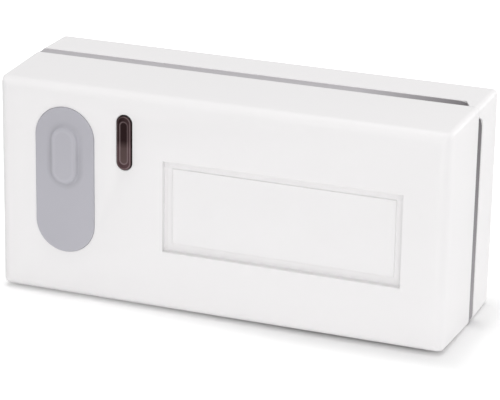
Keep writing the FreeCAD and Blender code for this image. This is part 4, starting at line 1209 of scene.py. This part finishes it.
class BELLPUSH_OT_stage(bpy.types.Operator):
    """Sets the floor, the soft light and the camera"""
    bl_idname = "bell_push.stage"
    bl_label = "Stage"

    def execute(self, context):
        settings = context.scene.stage_settings
        self.lay_floor()
        self.light_room(settings)
        self.hang_lamps(settings)
        self.aim_camera(settings)
        context.scene.view_settings.view_transform = "Standard"
        return {"FINISHED"}

    def lay_floor(self):
        """Lays the floor a hair below the object, so that the two faces don't meet."""
        hair = 0.02 * MM
        deselect()
        bpy.ops.mesh.primitive_plane_add(size=12.0, location=(0.0, 0.0, -hair))
        floor = settle("floor")
        recipe = Recipe("studio_floor")
        seen = recipe.node("ShaderNodeLightPath")
        x, y, _ = recipe.axes()
        # The floor glows for camera rays only. Far off, the glow keeps it evenly white. Nearer, it
        # is painted light: it lifts the floor from 2.5 mm out, narrowing the contact shadow, and
        # lifts it towards the left, lightening the shadow there.
        reach = (abs(x) - COVER_HIGH.x).most(abs(y) + COVER_LOW.y)
        near = 0.13 * ((reach - 2.5 * MM) / (5 * MM)).clamped()
        left = 0.2 * ((18 * MM - x) / (43 * MM)).clamped()
        away = ((reach - 50 * MM) / (300 * MM)).clamped()
        recipe.shade(Base_Color=recipe.mix(seen, (0.95, 0.95, 0.95), (1.0, 1.0, 1.0)),
                     Roughness=0.9, Specular_IOR_Level=0.0)
        glow = recipe.node("ShaderNodeEmission", {}, {
            "Color": (1.0, 1.0, 1.0), "Strength": seen * (near + left + away)})
        both = recipe.node("ShaderNodeAddShader", {}, {0: Signal(recipe, recipe.shader.outputs[0]),
                                                       1: glow})
        recipe.feed(recipe.tree.nodes["Material Output"].inputs["Surface"], both)
        floor.data.materials.append(recipe.material)

    def light_room(self, settings):
        """Lights the room: white where it is seen, softer where it only lights the object."""
        room = Recipe("studio", world=True)
        seen = sum(room.node("ShaderNodeLightPath", output=f"Is {kind} Ray")
                   for kind in ("Camera", "Glossy", "Transmission")).clamped()
        room.shade(Color=(1.0, 1.0, 1.0),
                   Strength=settings.ambient + (1.0 - settings.ambient) * seen)
        bpy.context.scene.world = room.material

    def hang_lamps(self, settings):
        """Hangs the three soft lights, which look at the object."""
        low, above = (settings.low_width, settings.low_height), (settings.top_side,) * 2
        for side, size in (("front", low), ("side", low), ("top", above)):
            deselect()
            way = Vector(getattr(settings, f"{side}_way")).normalized()
            bpy.ops.object.light_add(type="AREA", location=MIDDLE + way * settings.distance)
            lamp = bpy.context.active_object
            lamp.name = f"{side}_light"
            lamp.data.shape = "RECTANGLE"
            lamp.data.size, lamp.data.size_y = size
            lamp.data.energy = getattr(settings, side)
            lamp.rotation_euler = way.to_track_quat("Z", "Y").to_euler()

    def aim_camera(self, settings):
        """Aims the camera, which first looks down, by its height, its turn and its roll."""
        deselect()
        bpy.ops.object.camera_add(location=settings.place)
        camera = bpy.context.active_object
        camera.name = "camera"
        camera.data.sensor_fit = "HORIZONTAL"
        camera.data.sensor_width = 36.0
        camera.data.lens = settings.lens
        camera.data.clip_start = 0.01
        turned = (Matrix.Rotation(settings.azimuth, 3, "Z")
                  @ Matrix.Rotation(math.pi / 2 - settings.elevation, 3, "X")
                  @ Matrix.Rotation(settings.roll, 3, "Z"))
        camera.rotation_euler = turned.to_euler()
        bpy.context.scene.camera = camera


class VIEW3D_PT_bell_push(bpy.types.Panel):
    """Lists the bell push's pieces and sizes"""
    bl_label = "Bell Push"
    bl_space_type = "VIEW_3D"
    bl_region_type = "UI"
    bl_category = "Bell Push"

    def draw(self, context):
        scene = context.scene
        for operator in OPERATORS:
            self.layout.operator(operator.bl_idname)
        for group_name in GROUPS:
            group = getattr(scene, group_name)
            box = self.layout.box()
            box.label(text=group_name.replace("_", " ").capitalize())
            for key in group.__annotations__:
                box.prop(group, key)


OPERATORS = (
    BELLPUSH_OT_inner_parts,
    BELLPUSH_OT_cover_shell,
    BELLPUSH_OT_seal_band,
    BELLPUSH_OT_wall_box,
    BELLPUSH_OT_press_pad,
    BELLPUSH_OT_lamp_window,
    BELLPUSH_OT_name_window,
    BELLPUSH_OT_screws,
    BELLPUSH_OT_stage,
)
GROUPS = {
    "housing_sizes": HousingSizes,
    "screw_sizes": ScrewSizes,
    "pad_sizes": PadSizes,
    "lens_sizes": LensSizes,
    "finish_colours": FinishColours,
    "stage_settings": StageSettings,
}


def register():
    for name, group in GROUPS.items():
        bpy.utils.register_class(group)
        setattr(bpy.types.Scene, name, PointerProperty(type=group))
    for operator in OPERATORS:
        bpy.utils.register_class(operator)
    bpy.utils.register_class(VIEW3D_PT_bell_push)


def unregister():
    bpy.utils.unregister_class(VIEW3D_PT_bell_push)
    for operator in reversed(OPERATORS):
        bpy.utils.unregister_class(operator)
    for name, group in reversed(GROUPS.items()):
        delattr(bpy.types.Scene, name)
        bpy.utils.unregister_class(group)


def main():
    register()
    for operator in OPERATORS:
        group, name = operator.bl_idname.split(".")
        getattr(getattr(bpy.ops, group), name)()


if __name__ == "__main__":
    main()
